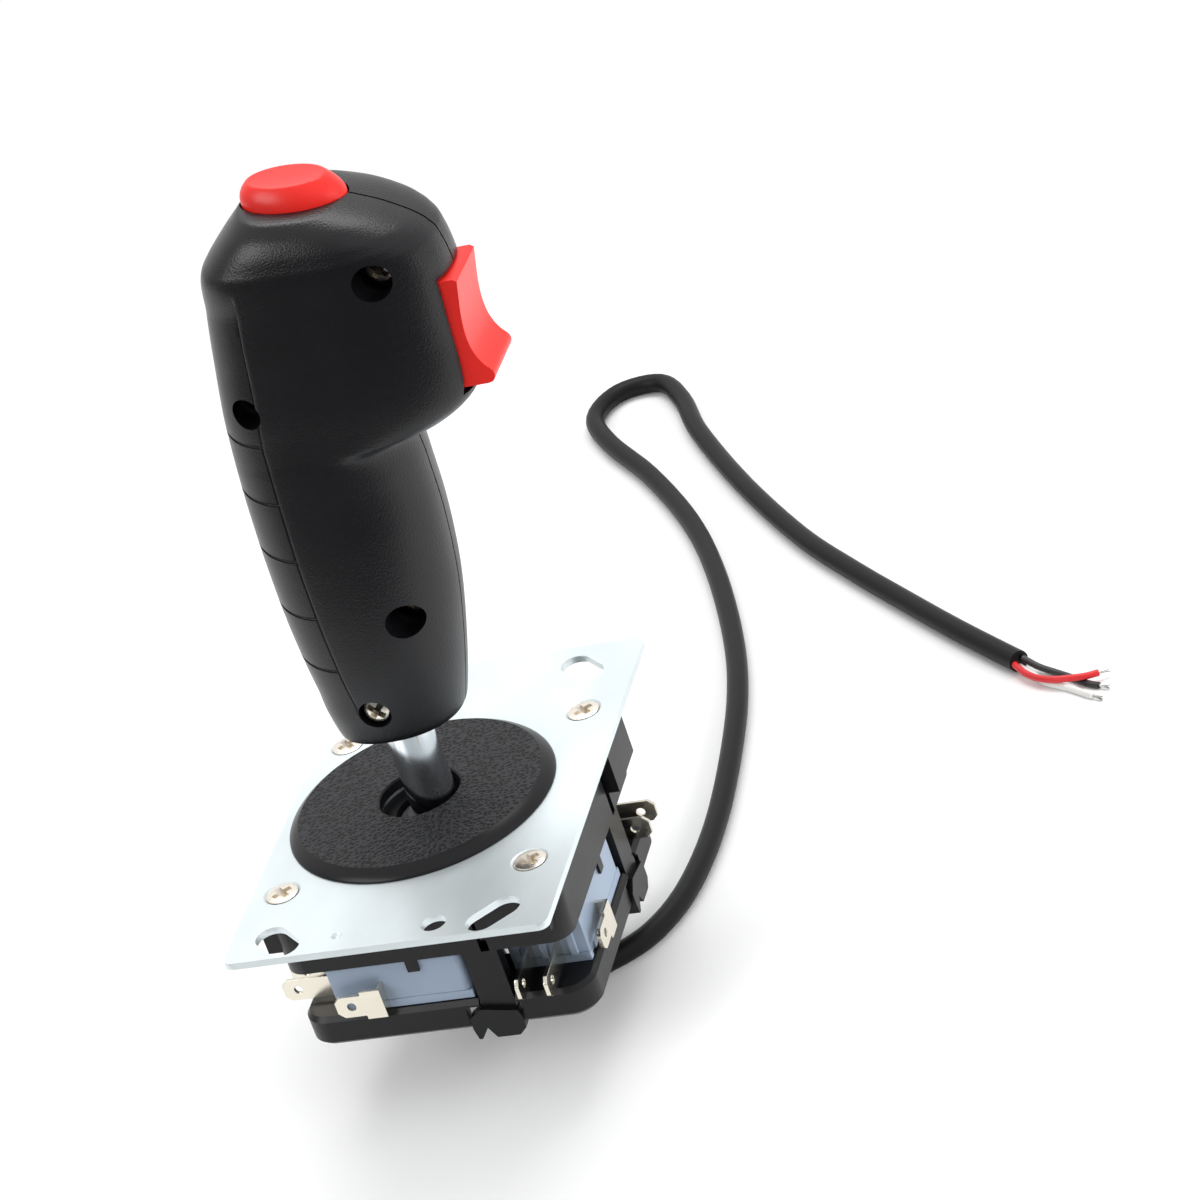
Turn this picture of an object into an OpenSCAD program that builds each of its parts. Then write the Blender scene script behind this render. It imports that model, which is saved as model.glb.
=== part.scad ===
// Panel-mounted arcade flight joystick: a pistol grip with a trigger and a thumb button on a tilting
// shaft, over a square base that carries four snap switches. Millimetres.
// The origin is on the shaft axis at the top face of the plate. +X is the way the trigger faces, +Z is up.

/* [Mounting plate] */
// Width of the plate, along the trigger's direction
plate_w = 65; // [62:0.5:72]
// Depth of the plate
plate_d = 97; // [95:0.5:110]
// Thickness of the sheet
plate_t = 1.5; // [1.2:0.1:2]
// Corner radius of the plate
plate_r = 2; // [1:0.5:5]
// Width of each corner slot
slot_w = 6.2; // [5:0.1:6.5]
// End-to-end length of each corner slot
slot_l = 11.4; // [9:0.1:12]
// Slot centre, across the plate
slot_x = 21.7; // [21:0.1:22]
// Slot centre, along the plate
slot_y = 41.5; // [41:0.1:42]
// Diameter of the earth hole
earth_d = 5; // [3:0.1:5.5]
// Pitch of the four plate screws
screw_pitch = 50.6; // [50:0.1:51]
// Diameter of a plate screw's head
screw_head = 6.4; // [5.5:0.1:7]

/* [Base] */
// Side of the square base
base_w = 59; // [58:0.5:60]
// Side of the bottom frame
frame_w = 59.8; // [59:0.2:61]
// Depth of the underside of the housing below the plate's top
housing_z = 16.4; // [16:0.1:17]
// Depth of the underside of the bottom frame
frame_z = 33.8; // [33:0.1:34.5]
// Depth of the ends of the snap legs
leg_z = 35.7; // [34.5:0.1:36]
// Length of a snap switch
switch_l = 27.8; // [27:0.1:28]
// Height of a snap switch, outwards
switch_h = 15.9; // [15:0.1:16]
// Thickness of a snap switch
switch_t = 10.4; // [10:0.1:10.5]

/* [Stick] */
// Diameter of the shaft
shaft_d = 9.6; // [9:0.1:9.8]
// Bore of the shaft
shaft_bore = 5.6; // [5.2:0.1:6]
// Depth of the centre of the pivot below the plate's top
pivot_z = 5; // [4.5:0.1:5.5]
// Diameter of the dust disc
disc_d = 54.4; // [50:0.2:56]
// Diameter of the hole in the dust disc
disc_hole = 16.4; // [16:0.1:17]

/* [Grip] */
// Wall of the grip shells
grip_wall = 2.4; // [2:0.1:2.8]
// Width of the trigger
trigger_w = 13.8; // [12:0.2:14]
// Length of the thumb button at its foot
button_l = 19.6; // [18:0.2:20]
// Width of the thumb button at its foot
button_w = 13; // [12:0.2:13.4]

/* [Cable] */
// Diameter of the cable's jacket
cable_d = 4.8; // [4:0.1:5]
// Diameter of a core
core_d = 1.5; // [1.2:0.1:1.7]

/* [Hidden] */
$fn = 48;
eps = 0.01;
SIDES = ["front", "right", "back", "left"];

// Plate: its outline sits a little off the shaft, as measured
plate_shift = [0.8, 1.7];
shaft_hole_d = 24;
earth_pos = [10, -42];
dimple_pos = [-9.5, -42];
screw_d = 3;
screw_l = 11;

// Dust disc: where it lies on the plate at rest, and its thickness
disc_rest = [-2.7, 0.4];
disc_t = 2.2;

// Switches lie flat under the housing, plungers inwards, each a quarter turn on from the last
switch_out = 28.8;
switch_in = switch_out - switch_h;
switch_end = -21.3;
switch_top = -housing_z - 0.3;
switch_bottom = switch_top - switch_t;
cover_t = 1.9;
plunger_z = (switch_top + switch_bottom) / 2;
plunger_tip = 10.2;
plunger_w = 3;
plunger_h = 2.6;
peg_d = 2.9;
peg_at = [[-18.6, -(switch_in + 2.8)], [3.6, -(switch_out - 2.8)]];
tab_w = 4.75;
tab_t = 0.8;
tab_l = 12.6;
tab_y = [17.4, 23.2];
tab_z = plunger_z - 2;
com_x = -10.8;

// Pivot: a ball on the shaft, in a spherical bush, in a spherical seat
ball_r = 7;
bush_r = 8.4;
run_gap = 0.05;

// Actuator and spring under the housing
web_z = -11.5;
flange_z = -17;
flange_r = 10;
hub_r = 7.2;
hub_end = -27.6;
spring_r = 9;
spring_wire = 1.1;
shaft_end = -34;
shaft_top = 66;

// Snap legs of the housing
leg_x = [7.4, 14.3];
leg_t = 3;

// Grip stations: height, back, front, half-width, squareness of the back and of the front
GRIP = [
    [21, -11.5, 11.8, 10.6, 2.3, 2.3],
    [22.6, -12.2, 13.1, 11.8, 2.3, 2.3],
    [34, -13.3, 17.2, 14, 2.4, 2.4],
    [48, -13.8, 20.5, 15, 2.5, 2.5],
    [62, -13.6, 22.2, 15.2, 2.5, 2.5],
    [74, -12.9, 22.7, 14.6, 2.5, 2.5],
    [81.2, -12.3, 23, 14.1, 2.6, 2.5],
    [83.2, -12.1, 27.5, 14.2, 2.7, 2.5],
    [84.3, -11.8, 33.2, 14.5, 2.8, 2.6],
    [87.6, -11.3, 37.8, 14.8, 3, 2.6],
    [93, -10.6, 39.5, 15, 3, 2.6],
    [102, -9.1, 40, 15, 3, 2.6],
    [112, -7, 40.5, 15, 3, 2.6],
    [118, -5.2, 39.7, 15.2, 3, 2.6],
    [120.6, -4.4, 38.3, 15.1, 3, 2.6],
    [122.2, -3.3, 36.8, 14.7, 2.9, 2.6],
    [124.6, -1.1, 34, 13.9, 2.8, 2.6],
    [127, 1.9, 30.3, 12.6, 2.7, 2.5],
    [128.9, 4.7, 26.8, 10.7, 2.5, 2.4],
    [129.4, 5.7, 25.2, 9.1, 2.5, 2.4]
];
// Height of the shelf under the head, and how far above and below it the inner floor is raised
shelf_z = 84;
shelf_spread = 9;
grip_low = GRIP[0][0];
grip_high = GRIP[len(GRIP) - 1][0];
grip_mid = (grip_low + grip_high) / 2;

// Edge of the back strip and its cross grooves, seen from the side
STRIP_EDGE = [
    [4, 119.5], [1.8, 108], [-0.2, 94], [-1.5, 87], [-2.3, 75], [-2.9, 62], [-3.1, 48], [-2.9, 36], [-2, 24]
];
STRIP_GROOVES = [88, 76, 64, 51.5, 39.5];
groove_w = 0.9;
groove_depth = 0.6;

// Screws that close the grip: forward, up, depth of the head below the parting plane, well diameter
GRIP_SCREWS = [[29.8, 116, -3.4, 7], [-2.2, 94.8, -3.4, 6], [12.9, 47.4, -3.4, 7]];
clamp_pos = [0.5, 28.7];
clamp_head_y = -11.2;
clamp_well_d = 6.4;
grip_screw_d = 2.8;
grip_head_d = 5.4;

// Trigger, hung on a pin behind the front of the head
trigger_pin = [33.5, 107.4];
trigger_pin_d = 3;
trigger_pin_l = 19;
trigger_low = 89.8;
trigger_high = 110.9;
trigger_slot = [88.4, 111.5];

// Thumb button
button_x = 15.8;
button_rim = 129.3;
button_top = 133.5;
button_flange_z = 123;
button_clear = 0.35;

// Small snap switches in the grip
mini_l = 19.8;
mini_h = 10.2;
mini_t = 6.4;
mini_plunger_d = 1.8;
button_switch_top = 120.2;
button_switch_x = 4.4;
trigger_switch_face = 29.7;
trigger_switch_z = 86;
trigger_plunger_z = 92;

// The bench that the cable lies on, and the cable's route from the shaft's lower end
bench_z = -52.5;
lie_z = bench_z + cable_d / 2;
CABLE_ROUTE = [
    [0, 0, shaft_end], [0, 0, -37.5], [0.8, 0.4, -41.4], [3, 1.6, -45.2], [6.6, 3.6, -48.2],
    [11.6, 6.5, -49.8], [18.5, 11, lie_z], [26, 18.5, lie_z], [31, 32, lie_z], [33, 53, lie_z],
    [32, 79, lie_z], [29, 106, lie_z], [23.5, 131, lie_z], [14, 161, lie_z], [3, 187, lie_z],
    [-12, 213, lie_z], [-27, 234, lie_z], [-34, 249, lie_z], [-30, 261, lie_z], [-19, 262.5, lie_z],
    [-11, 251, lie_z], [-3, 232, lie_z], [14, 201, lie_z], [33, 171.5, lie_z], [48, 152.5, lie_z],
    [63, 135, lie_z], [78, 118, lie_z], [93, 102, lie_z]
];
core_lie = bench_z + core_d / 2;
cut = CABLE_ROUTE[len(CABLE_ROUTE) - 1];
tip_l = 5;
// Where each core leaves the jacket, beside its axis and above or below it, and where its insulation ends
CORE_START = [[0.9, 0.7, 0.6], [-0.1, 0, -0.9], [-0.9, -0.7, 0.5]];
CORE_END = [[110, 93], [110.5, 88], [109, 84.5]];

// Curve through four points, at t between the middle two
function through(a, b, c, d, t) =
    (2 * b + (c - a) * t + (2 * a - 5 * b + 4 * c - d) * t * t + (3 * b - a - 3 * c + d) * t * t * t) / 2;

// A smooth list through the points, with some steps between each pair
function smooth(p, steps) = let (n = len(p)) concat(
    [for (i = [0:n - 2]) for (s = [0:steps - 1])
        through(p[max(i - 1, 0)], p[i], p[i + 1], p[min(i + 2, n - 1)], s / steps)],
    [p[n - 1]]);

function unit(v) = v / norm(v);
function tangent(p, i) = unit(p[min(i + 1, len(p) - 1)] - p[max(i - 1, 0)]);
function across(v, t) = unit(v - (v * t) * t);

// Sideways directions along a path, carried on from each point to the next without twist
function sideways(p) = let (start = abs(tangent(p, 0)[2]) > 0.7 ? [1, 0, 0] : [0, 0, 1])
    [for (i = 0, v = across(start, tangent(p, 0)); i < len(p);
        i = i + 1, v = i < len(p) ? across(v, tangent(p, i)) : v) v];

// Faces that close a stack of equal rings
function stack_faces(rings, n) = concat(
    [[for (k = [0:n - 1]) k]],
    [for (i = [0:rings - 2]) for (k = [0:n - 1]) let (m = (k + 1) % n)
        each [[i * n + k, (i + 1) * n + k, (i + 1) * n + m], [i * n + k, (i + 1) * n + m, i * n + m]]],
    [[for (k = [n - 1:-1:0]) (rings - 1) * n + k]]);

// A round wire along a path
module sweep(path, d, sides) {
    v = sideways(path);
    points = [for (i = [0:len(path) - 1]) for (k = [0:sides - 1])
        let (a = 360 * k / sides, w = cross(tangent(path, i), v[i]))
            path[i] + d / 2 * (cos(a) * v[i] + sin(a) * w)];
    polyhedron(points, stack_faces(len(path), sides));
}

// A helix about +Z from the origin
function helix(r, height, turns, per_turn) =
    [for (i = [0:turns * per_turn]) let (a = 360 * i / per_turn)
        [r * cos(a), r * sin(a), height * i / (turns * per_turn)]];

function signed_power(v, e) = sign(v) * pow(abs(v), e);

// Height of an outline drawn in by inset: lower at the top, higher at the bottom and over the shelf
function inset_height(z, inset) = grip_mid + (z - grip_mid) * (1 - 2 * inset / (grip_high - grip_low))
    + 0.85 * inset * max(0, 1 - abs(z - shelf_z) / shelf_spread);

// One closed outline of the grip, drawn in by inset
function grip_ring(s, inset, n) = [for (k = [0:n - 1])
    let (a = 360 * (k + 0.5) / n, q = cos(a) > 0 ? s[5] : s[4])
        [(s[1] + s[2]) / 2 + ((s[2] - s[1]) / 2 - inset) * signed_power(cos(a), 2 / q),
         (s[3] - inset) * signed_power(sin(a), 2 / q), inset_height(s[0], inset)]];

module grip_loft(inset, steps, n) {
    stations = smooth(GRIP, steps);
    points = [for (s = stations) each grip_ring(s, inset, n)];
    polyhedron(points, stack_faces(len(stations), n));
}

module rounded_rect(w, d, r) {
    square([w - 2 * r, d], center = true);
    square([w, d - 2 * r], center = true);
    for (x = [-1, 1], y = [-1, 1])
        translate([x * (w / 2 - r), y * (d / 2 - r)]) circle(r);
}

module slot(l, w) {
    square([l - w, w], center = true);
    for (x = [-1, 1]) translate([x * (l - w) / 2, 0]) circle(d = w);
}

module corner_screws(pitch) {
    for (x = [-1, 1], y = [-1, 1]) translate([x, y, 0] * pitch / 2) children();
}

module quarter(i) {
    rotate(90 * i) children();
}

// Lays a drawing in forward-and-up coordinates on a plane y, with thickness towards +Y
module side_profile(y, t) {
    translate([0, y + t, 0]) rotate([90, 0, 0]) linear_extrude(t) children();
}

module cross_recess(d, depth) {
    for (a = [45, 135]) rotate(a) translate([0, 0, -depth / 2])
        cube([d, d / 4.5, depth + eps], center = true);
}

// Pressed steel plate with four angled corner slots, an earth hole and countersunk screw holes
module mounting_plate() {
    color("gainsboro") difference() {
        translate([0, 0, -plate_t]) linear_extrude(plate_t) difference() {
            translate(plate_shift) rounded_rect(plate_w, plate_d, plate_r);
            circle(d = shaft_hole_d);
            translate(earth_pos) circle(d = earth_d);
            for (x = [-1, 1], y = [-1, 1])
                translate([x * slot_x, y * slot_y]) rotate(-45 * x * y) slot(slot_l, slot_w);
        }
        corner_screws(screw_pitch) {
            translate([0, 0, -plate_t - eps]) cylinder(d = screw_d + 0.4, h = plate_t + 2 * eps);
            translate([0, 0, -1.3]) cylinder(d1 = screw_d + 0.4, d2 = screw_head + 1.2, h = 1.3 + eps);
        }
        translate([dimple_pos[0], dimple_pos[1], 0.5]) sphere(1.2);
    }
}

// Countersunk cross-recess screws that hold the plate to the housing
module plate_screws() {
    color("silver") corner_screws(screw_pitch) difference() {
        union() {
            translate([0, 0, -1.45]) cylinder(d1 = screw_d, d2 = screw_head, h = 1.25);
            translate([0, 0, -0.2]) cylinder(d1 = screw_head, d2 = screw_head - 0.8, h = 0.3);
            translate([0, 0, -screw_l]) cylinder(d = screw_d, h = screw_l - 1.4);
        }
        translate([0, 0, 0.2]) cross_recess(3.4, 1.4);
    }
}

// Loose dust disc that slides on the plate, with a bevelled rim
module dust_disc() {
    r = disc_d / 2;
    hole = disc_hole / 2;
    color("#2d2d2f") translate([disc_rest[0], disc_rest[1], 0.02]) rotate_extrude()
        polygon([[hole, 0], [r, 0], [r, 0.7], [r - 2.5, disc_t],
            [hole + 0.35, disc_t], [hole, disc_t - 0.35]]);
}

// One snap leg of the housing, at the front side, with its split hooked foot
module snap_leg() {
    foot = [[leg_x[0] - 0.2, -28.9], [4.5, -30.8], [4.5, -33.4], [5, -leg_z], [5.7, -leg_z], [7.4, -33.3],
        [8.8, -leg_z], [13.4, -leg_z], [15, -34.2], [15, -31.4], [leg_x[1] + 0.2, -30]];
    side_profile(-base_w / 2, leg_t)
        polygon([[leg_x[0], -14], [leg_x[0], -31], [leg_x[1], -31], [leg_x[1], -14]]);
    side_profile(-base_w / 2 - 1.1, leg_t - 0.4) polygon(foot);
}

// Moulded housing under the plate: pivot seat, spring seat, switch pegs, ears and snap legs
module upper_housing() {
    top = -plate_t;
    ear = [[13, 27.3], [29.4, 31.8], -12.2];
    color("#1e1e20") difference() {
        union() {
            translate([0, 0, -housing_z]) linear_extrude(housing_z - plate_t)
                rounded_rect(base_w, base_w, 4.5);
            for (i = [0:3]) quarter(i) {
                translate([ear[0][0], -ear[1][1], ear[2]])
                    cube([ear[0][1] - ear[0][0], ear[1][1] - ear[1][0] + 1, top - ear[2]]);
                snap_leg();
                for (p = peg_at)
                    translate([p[0], p[1], -housing_z - 4]) cylinder(d = peg_d, h = 4.5);
                translate([-4.6, -base_w / 2, -housing_z - 2.6]) cube([2.4, 0.55, 3]);
            }
        }
        // Room under the web for the actuator and the spring
        translate([0, 0, -housing_z - eps]) cylinder(r = 13.2, h = housing_z + web_z);
        // Seat of the pivot bush
        translate([0, 0, -pivot_z]) sphere(bush_r + run_gap);
        translate([0, 0, -pivot_z]) cylinder(r = bush_r + run_gap, h = pivot_z);
        translate([0, 0, -housing_z]) cylinder(r = 7.5, h = housing_z - pivot_z);
        // Lightening pockets between the screw posts
        for (i = [0:3]) quarter(i) {
            translate([-14, -base_w / 2 + 2.4, -housing_z - eps]) cube([28, 9, 8.2]);
            translate([11.2, -base_w / 2 - 1.4, -housing_z - eps]) cube([1.8, 1.4 + 2.2, 12]);
        }
        corner_screws(screw_pitch)
            translate([0, 0, -screw_l - 0.4]) cylinder(d = screw_d + 0.1, h = screw_l);
    }
}

// Moulded frame that closes the base from below, with notches for the snap legs
module bottom_frame() {
    frame_top = switch_bottom - 0.05;
    wall = 2.2;
    shelf = 2;
    open_w = 31;
    round_r = 5.5;
    bevel = 1;
    color("#232325") difference() {
        hull() {
            translate([0, 0, frame_top - bevel]) linear_extrude(bevel)
                rounded_rect(frame_w - 1.6, frame_w - 1.6, round_r - 0.8);
            translate([0, 0, -frame_z + bevel]) linear_extrude(frame_z - 2 * bevel + frame_top)
                rounded_rect(frame_w, frame_w, round_r);
            translate([0, 0, -frame_z]) linear_extrude(eps)
                rounded_rect(frame_w - 2, frame_w - 2, round_r - 1);
        }
        // Hollow underside
        translate([0, 0, -frame_z - eps]) linear_extrude(frame_z + frame_top - shelf) difference() {
            rounded_rect(frame_w - 2 * wall, frame_w - 2 * wall, 4);
            rounded_rect(open_w + 2 * wall, open_w + 2 * wall, 4);
        }
        translate([0, 0, -frame_z - eps]) linear_extrude(frame_z) rounded_rect(open_w, open_w, 4);
        for (i = [0:3]) quarter(i) {
            translate([leg_x[0] - 0.3, -frame_w / 2 - 1, -frame_z - 1])
                cube([leg_x[1] - leg_x[0] + 0.6, leg_t + 1.6, frame_z]);
            translate([4.1, -frame_w / 2 - 1, -frame_z - 1]) cube([11.4, leg_t + 0.5, frame_z - 27.6]);
        }
    }
}

// Case of one snap switch, front position: ribs and a step at its terminal end
module switch_case() {
    low = switch_bottom + cover_t;
    color("#8292ab") difference() {
        union() {
            translate([switch_end, -switch_out, low]) cube([switch_l, switch_h, switch_top - low]);
            for (y = [14.6, 20.1, 25.9])
                translate([switch_end - 0.7, -y - 0.7, low]) cube([0.8, 1.4, switch_top - low]);
        }
        for (p = peg_at) translate([p[0], p[1], low - eps]) cylinder(d = peg_d + 0.2, h = switch_t);
        translate([-plunger_w / 2 - 0.1, -switch_in - 4.5, plunger_z - plunger_h / 2 - 0.1])
            cube([plunger_w + 0.2, 5, plunger_h + 0.2]);
        // Rounded outer corner away from the terminals
        translate([switch_end + switch_l - 1.6, -switch_out + 1.6, low - eps]) difference() {
            translate([0, -2, 0]) cube([2, 2, switch_t]);
            cylinder(r = 1.6, h = switch_t);
        }
    }
}

module switch_cover() {
    color("#7686a0") difference() {
        translate([switch_end, -switch_out, switch_bottom]) cube([switch_l, switch_h, cover_t - 0.02]);
        for (p = peg_at) translate([p[0], p[1], switch_bottom - eps]) cylinder(d = peg_d + 0.2, h = cover_t);
        translate([switch_end + 1.5, -switch_out - eps, switch_bottom - eps]) cube([2.2, 0.5, cover_t]);
    }
}

// A flat blade along -X from the origin, with a snipped end and an eye
module blade(l) {
    rotate([90, 0, 0]) translate([0, 0, -tab_t / 2]) linear_extrude(tab_t) difference() {
        polygon([[0, -tab_w / 2], [-l + 1.2, -tab_w / 2], [-l, -tab_w / 2 + 1.1], [-l, tab_w / 2 - 1.1],
            [-l + 1.2, tab_w / 2], [0, tab_w / 2]]);
        translate([-l + 3.2, 0]) circle(d = 1.8);
    }
}

// Two blades out of the end of the case, and the stepped common blade bent along its outer face
module switch_terminals() {
    reach = 2.4;
    root_w = 6.4;
    root_z = tab_w / 2 - root_w + 0.8;
    color("#cfc7b5") {
        for (y = tab_y) translate([switch_end - 0.02, -y, tab_z]) blade(tab_l);
        translate([com_x, -switch_out - reach, tab_z]) {
            blade(9.8);
            translate([-4.2, -tab_t / 2, root_z]) cube([4.2, tab_t, root_w]);
            translate([-tab_t, -tab_t / 2, root_z]) cube([tab_t, reach + tab_t / 2 - 0.02, root_w]);
        }
    }
}

// Flat push piece of a snap switch, with a rounded inner end
module switch_plunger() {
    color("firebrick") {
        translate([-plunger_w / 2, -switch_in - 3, plunger_z - plunger_h / 2])
            cube([plunger_w, switch_in + 3 - plunger_tip - 0.6, plunger_h]);
        translate([0, -plunger_tip - 0.6, plunger_z]) rotate([0, 90, 0])
            intersection() {
                cylinder(r = plunger_h / 2, h = plunger_w, center = true);
                translate([0, 0.1, 0]) cube([plunger_h, 1, plunger_w], center = true);
            }
    }
}

// Spherical nylon bush between the ball and the housing's seat
module pivot_bush() {
    color("ivory") translate([0, 0, -pivot_z]) rotate_extrude() difference() {
        intersection() {
            circle(bush_r);
            translate([0, -3.6]) square([bush_r, 5.8]);
        }
        circle(ball_r + run_gap);
    }
}

// Ball pressed on the shaft at the pivot
module pivot_ball() {
    color("dimgray") translate([0, 0, -pivot_z]) rotate_extrude() difference() {
        intersection() {
            circle(ball_r);
            translate([0, -5]) square([ball_r, 8.6]);
        }
        translate([0, -6]) square([shaft_d / 2 + 0.01, 12]);
    }
}

// Plated steel tube: groove for the retaining clip, tapped hole for the clamp screw
module shaft() {
    r = shaft_d / 2;
    color("lightsteelblue") difference() {
        rotate_extrude() difference() {
            polygon([[shaft_bore / 2, shaft_end], [r - 0.6, shaft_end], [r, shaft_end + 0.6],
                [r, shaft_top - 0.8], [r - 0.8, shaft_top], [shaft_bore / 2, shaft_top]]);
            translate([r - 0.9, hub_end - 0.95]) square([1, 0.9]);
        }
        translate([clamp_pos[0], 0, clamp_pos[1]]) rotate([90, 0, 0])
            cylinder(d = grip_screw_d + 0.1, h = r + 1);
    }
}

// Centring spring between the housing's web and the actuator's flange
module centring_spring() {
    rise = web_z - flange_z - spring_wire - 0.1;
    color("silver") translate([0, 0, flange_z + spring_wire / 2 + 0.05])
        sweep(helix(spring_r, rise, 3.5, 14), spring_wire, 8);
}

// Nylon actuator that pushes the switch plungers
module actuator() {
    color("#303034") rotate_extrude() polygon([[shaft_d / 2 + 0.01, flange_z], [flange_r - 0.5, flange_z],
        [flange_r, flange_z - 0.5], [flange_r, flange_z - 1.2], [hub_r, flange_z - 2], [hub_r, hub_end + 0.6],
        [hub_r - 0.6, hub_end], [shaft_d / 2 + 0.01, hub_end]]);
}

// Open ring in the shaft's groove that holds the actuator up
module retaining_clip() {
    color("darkgray") translate([0, 0, hub_end - 0.9]) linear_extrude(0.8) difference() {
        circle(r = 7);
        circle(r = shaft_d / 2 - 0.85);
        translate([-10, 0]) square([20, 5.4], center = true);
        for (a = [40, 140, 220, 320]) rotate(a) translate([5.4, 0]) circle(0.9);
    }
}

// A line of given width through points, as a flat drawing
module stroke(points, w) {
    for (i = [0:len(points) - 2]) hull() {
        translate(points[i]) circle(d = w, $fn = 8);
        translate(points[i + 1]) circle(d = w, $fn = 8);
    }
}

// Edge line of the back strip and the cross grooves that run back from it
module strip_grooves() {
    stroke(STRIP_EDGE, groove_w);
    for (z = STRIP_GROOVES)
        let (edge = lookup(z, [for (p = STRIP_EDGE) [p[1], p[0]]]))
            stroke([[edge - 0.2, z], [edge - 6, z + 1.2], [-20, z + 7]], groove_w);
}

// One half of the grip: side -1 is the right half with the screw wells, +1 the left
module grip_half(side) {
    steps = 2;
    n = 36;
    gap = 0.02;
    boss_r = 4.6;
    difference() {
        intersection() {
            union() {
                difference() {
                    grip_loft(0, steps, n);
                    grip_loft(grip_wall, 1, 28);
                }
                intersection() {
                    grip_loft(0.4, 1, n);
                    union() {
                        for (s = GRIP_SCREWS) translate([s[0], 0, s[1]]) rotate([90, 0, 0])
                            cylinder(r = boss_r, h = 40, center = true, $fn = 20);
                        translate([trigger_pin[0], 0, trigger_pin[1]]) rotate([90, 0, 0]) difference() {
                            cylinder(r = 3.4, h = 40, center = true, $fn = 20);
                            cylinder(r = 8, h = trigger_w + 0.6, center = true);
                        }
                        for (z = [28.7, 56]) translate([-20, -20, z - 4]) cube([60, 40, 8]);
                    }
                }
            }
            translate([-50, side > 0 ? gap : -50 - gap, 0]) cube([100, 50, 150]);
        }
        cylinder(d = shaft_d + 0.3, h = shaft_top + 0.5, $fn = 40);
        translate([0, 0, 60]) cylinder(d = 8, h = 10, $fn = 24);
        // Trigger opening and pin holes
        translate([trigger_switch_face + 0.4, -trigger_w / 2 - 0.35, trigger_slot[0]])
            cube([20, trigger_w + 0.7, trigger_slot[1] - trigger_slot[0]]);
        translate([trigger_pin[0], 0, trigger_pin[1]]) rotate([90, 0, 0])
            cylinder(d = trigger_pin_d + 0.2, h = trigger_pin_l + 0.4, center = true, $fn = 20);
        // Thumb button opening
        translate([button_x, 0, 118])
            oval(button_l + 2 * button_clear, button_w + 2 * button_clear, 20, $fn = 40);
        // Screw wells and pilot holes
        for (s = GRIP_SCREWS) translate([s[0], s[2], s[1]]) rotate([90, 0, 0]) {
            cylinder(d = s[3], h = 20, $fn = 24);
            translate([0, 0, -14]) cylinder(d = grip_screw_d + 0.2, h = 20, $fn = 16);
        }
        translate([clamp_pos[0], clamp_head_y, clamp_pos[1]]) rotate([90, 0, 0]) {
            cylinder(d = clamp_well_d, h = 10, $fn = 24);
            translate([0, 0, -9]) cylinder(d = grip_screw_d + 0.3, h = 12, $fn = 16);
        }
        difference() {
            side_profile(-30, 60) strip_grooves();
            grip_loft(groove_depth, steps, n);
        }
    }
}

module grip_right() {
    color("#1c1c1f") grip_half(-1);
}

module grip_left() {
    color("#1c1c1f") grip_half(1);
}

// Pan-head screw along +Y from its head's seat at the origin
module grip_screw(l) {
    rotate([-90, 0, 0]) translate([0, 0, -0.3]) cylinder(d = grip_screw_d, h = l + 0.3);
    rotate([90, 0, 0]) difference() {
        union() {
            translate([0, 0, 0.02]) cylinder(d = grip_head_d, h = 1.2);
            translate([0, 0, 1.22]) cylinder(d1 = grip_head_d, d2 = grip_head_d - 1.6, h = 0.7);
        }
        translate([0, 0, 2]) cross_recess(3, 1.6);
    }
}

// Three shell screws in their wells and the clamp screw into the shaft's wall
module grip_screws() {
    color("silver") {
        for (s = GRIP_SCREWS) translate([s[0], s[2], s[1]]) grip_screw(13.5);
        translate([clamp_pos[0], clamp_head_y, clamp_pos[1]])
            grip_screw(-clamp_head_y - shaft_bore / 2 - 0.3);
    }
}

// Trigger: hooked finger blade outside the head, ears on the pin, and a pad behind it for its switch
module trigger() {
    pad = trigger_switch_face + 2.1;
    finger = [[trigger_pin[0], trigger_high], [41.8, trigger_high], [42.5, trigger_high - 0.7], [41.8, 107.5],
        [41.1, 104], [40.7, 100.5], [40.8, 97.5], [41.4, 95.2], [42.3, 93.5], [43.2, 92.4], [43.5, 91.5],
        [43.3, 90.6], [42.7, 90], [41.8, trigger_low], [35.5, trigger_low], [34.6, 91], [pad, 91],
        [pad, 93.2], [34.6, 96], [34.2, 102], [trigger_pin[0], 104]];
    color("#e8352f") difference() {
        union() {
            side_profile(-trigger_w / 2, trigger_w) polygon(finger);
            translate([trigger_pin[0], 0, trigger_pin[1]]) rotate([90, 0, 0])
                cylinder(r = 3.3, h = trigger_w - 0.4, center = true);
        }
        translate([trigger_pin[0], 0, trigger_pin[1]]) rotate([90, 0, 0]) {
            cylinder(d = trigger_pin_d + 0.1, h = 40, center = true);
            cylinder(r = 4.4, h = 5.4, center = true);
        }
        translate([28, -2.7, 94.5]) cube([8.4, 5.4, 12]);
        // Sides of the switch pad
        for (y = [-1, 1]) translate([30, y * 6.5 - 3.5, 80]) cube([5.2, 7, 22.5]);
    }
}

module trigger_pin() {
    color("silver") translate([trigger_pin[0], 0, trigger_pin[1]]) rotate([90, 0, 0])
        cylinder(d = trigger_pin_d, h = trigger_pin_l, center = true);
}

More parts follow.
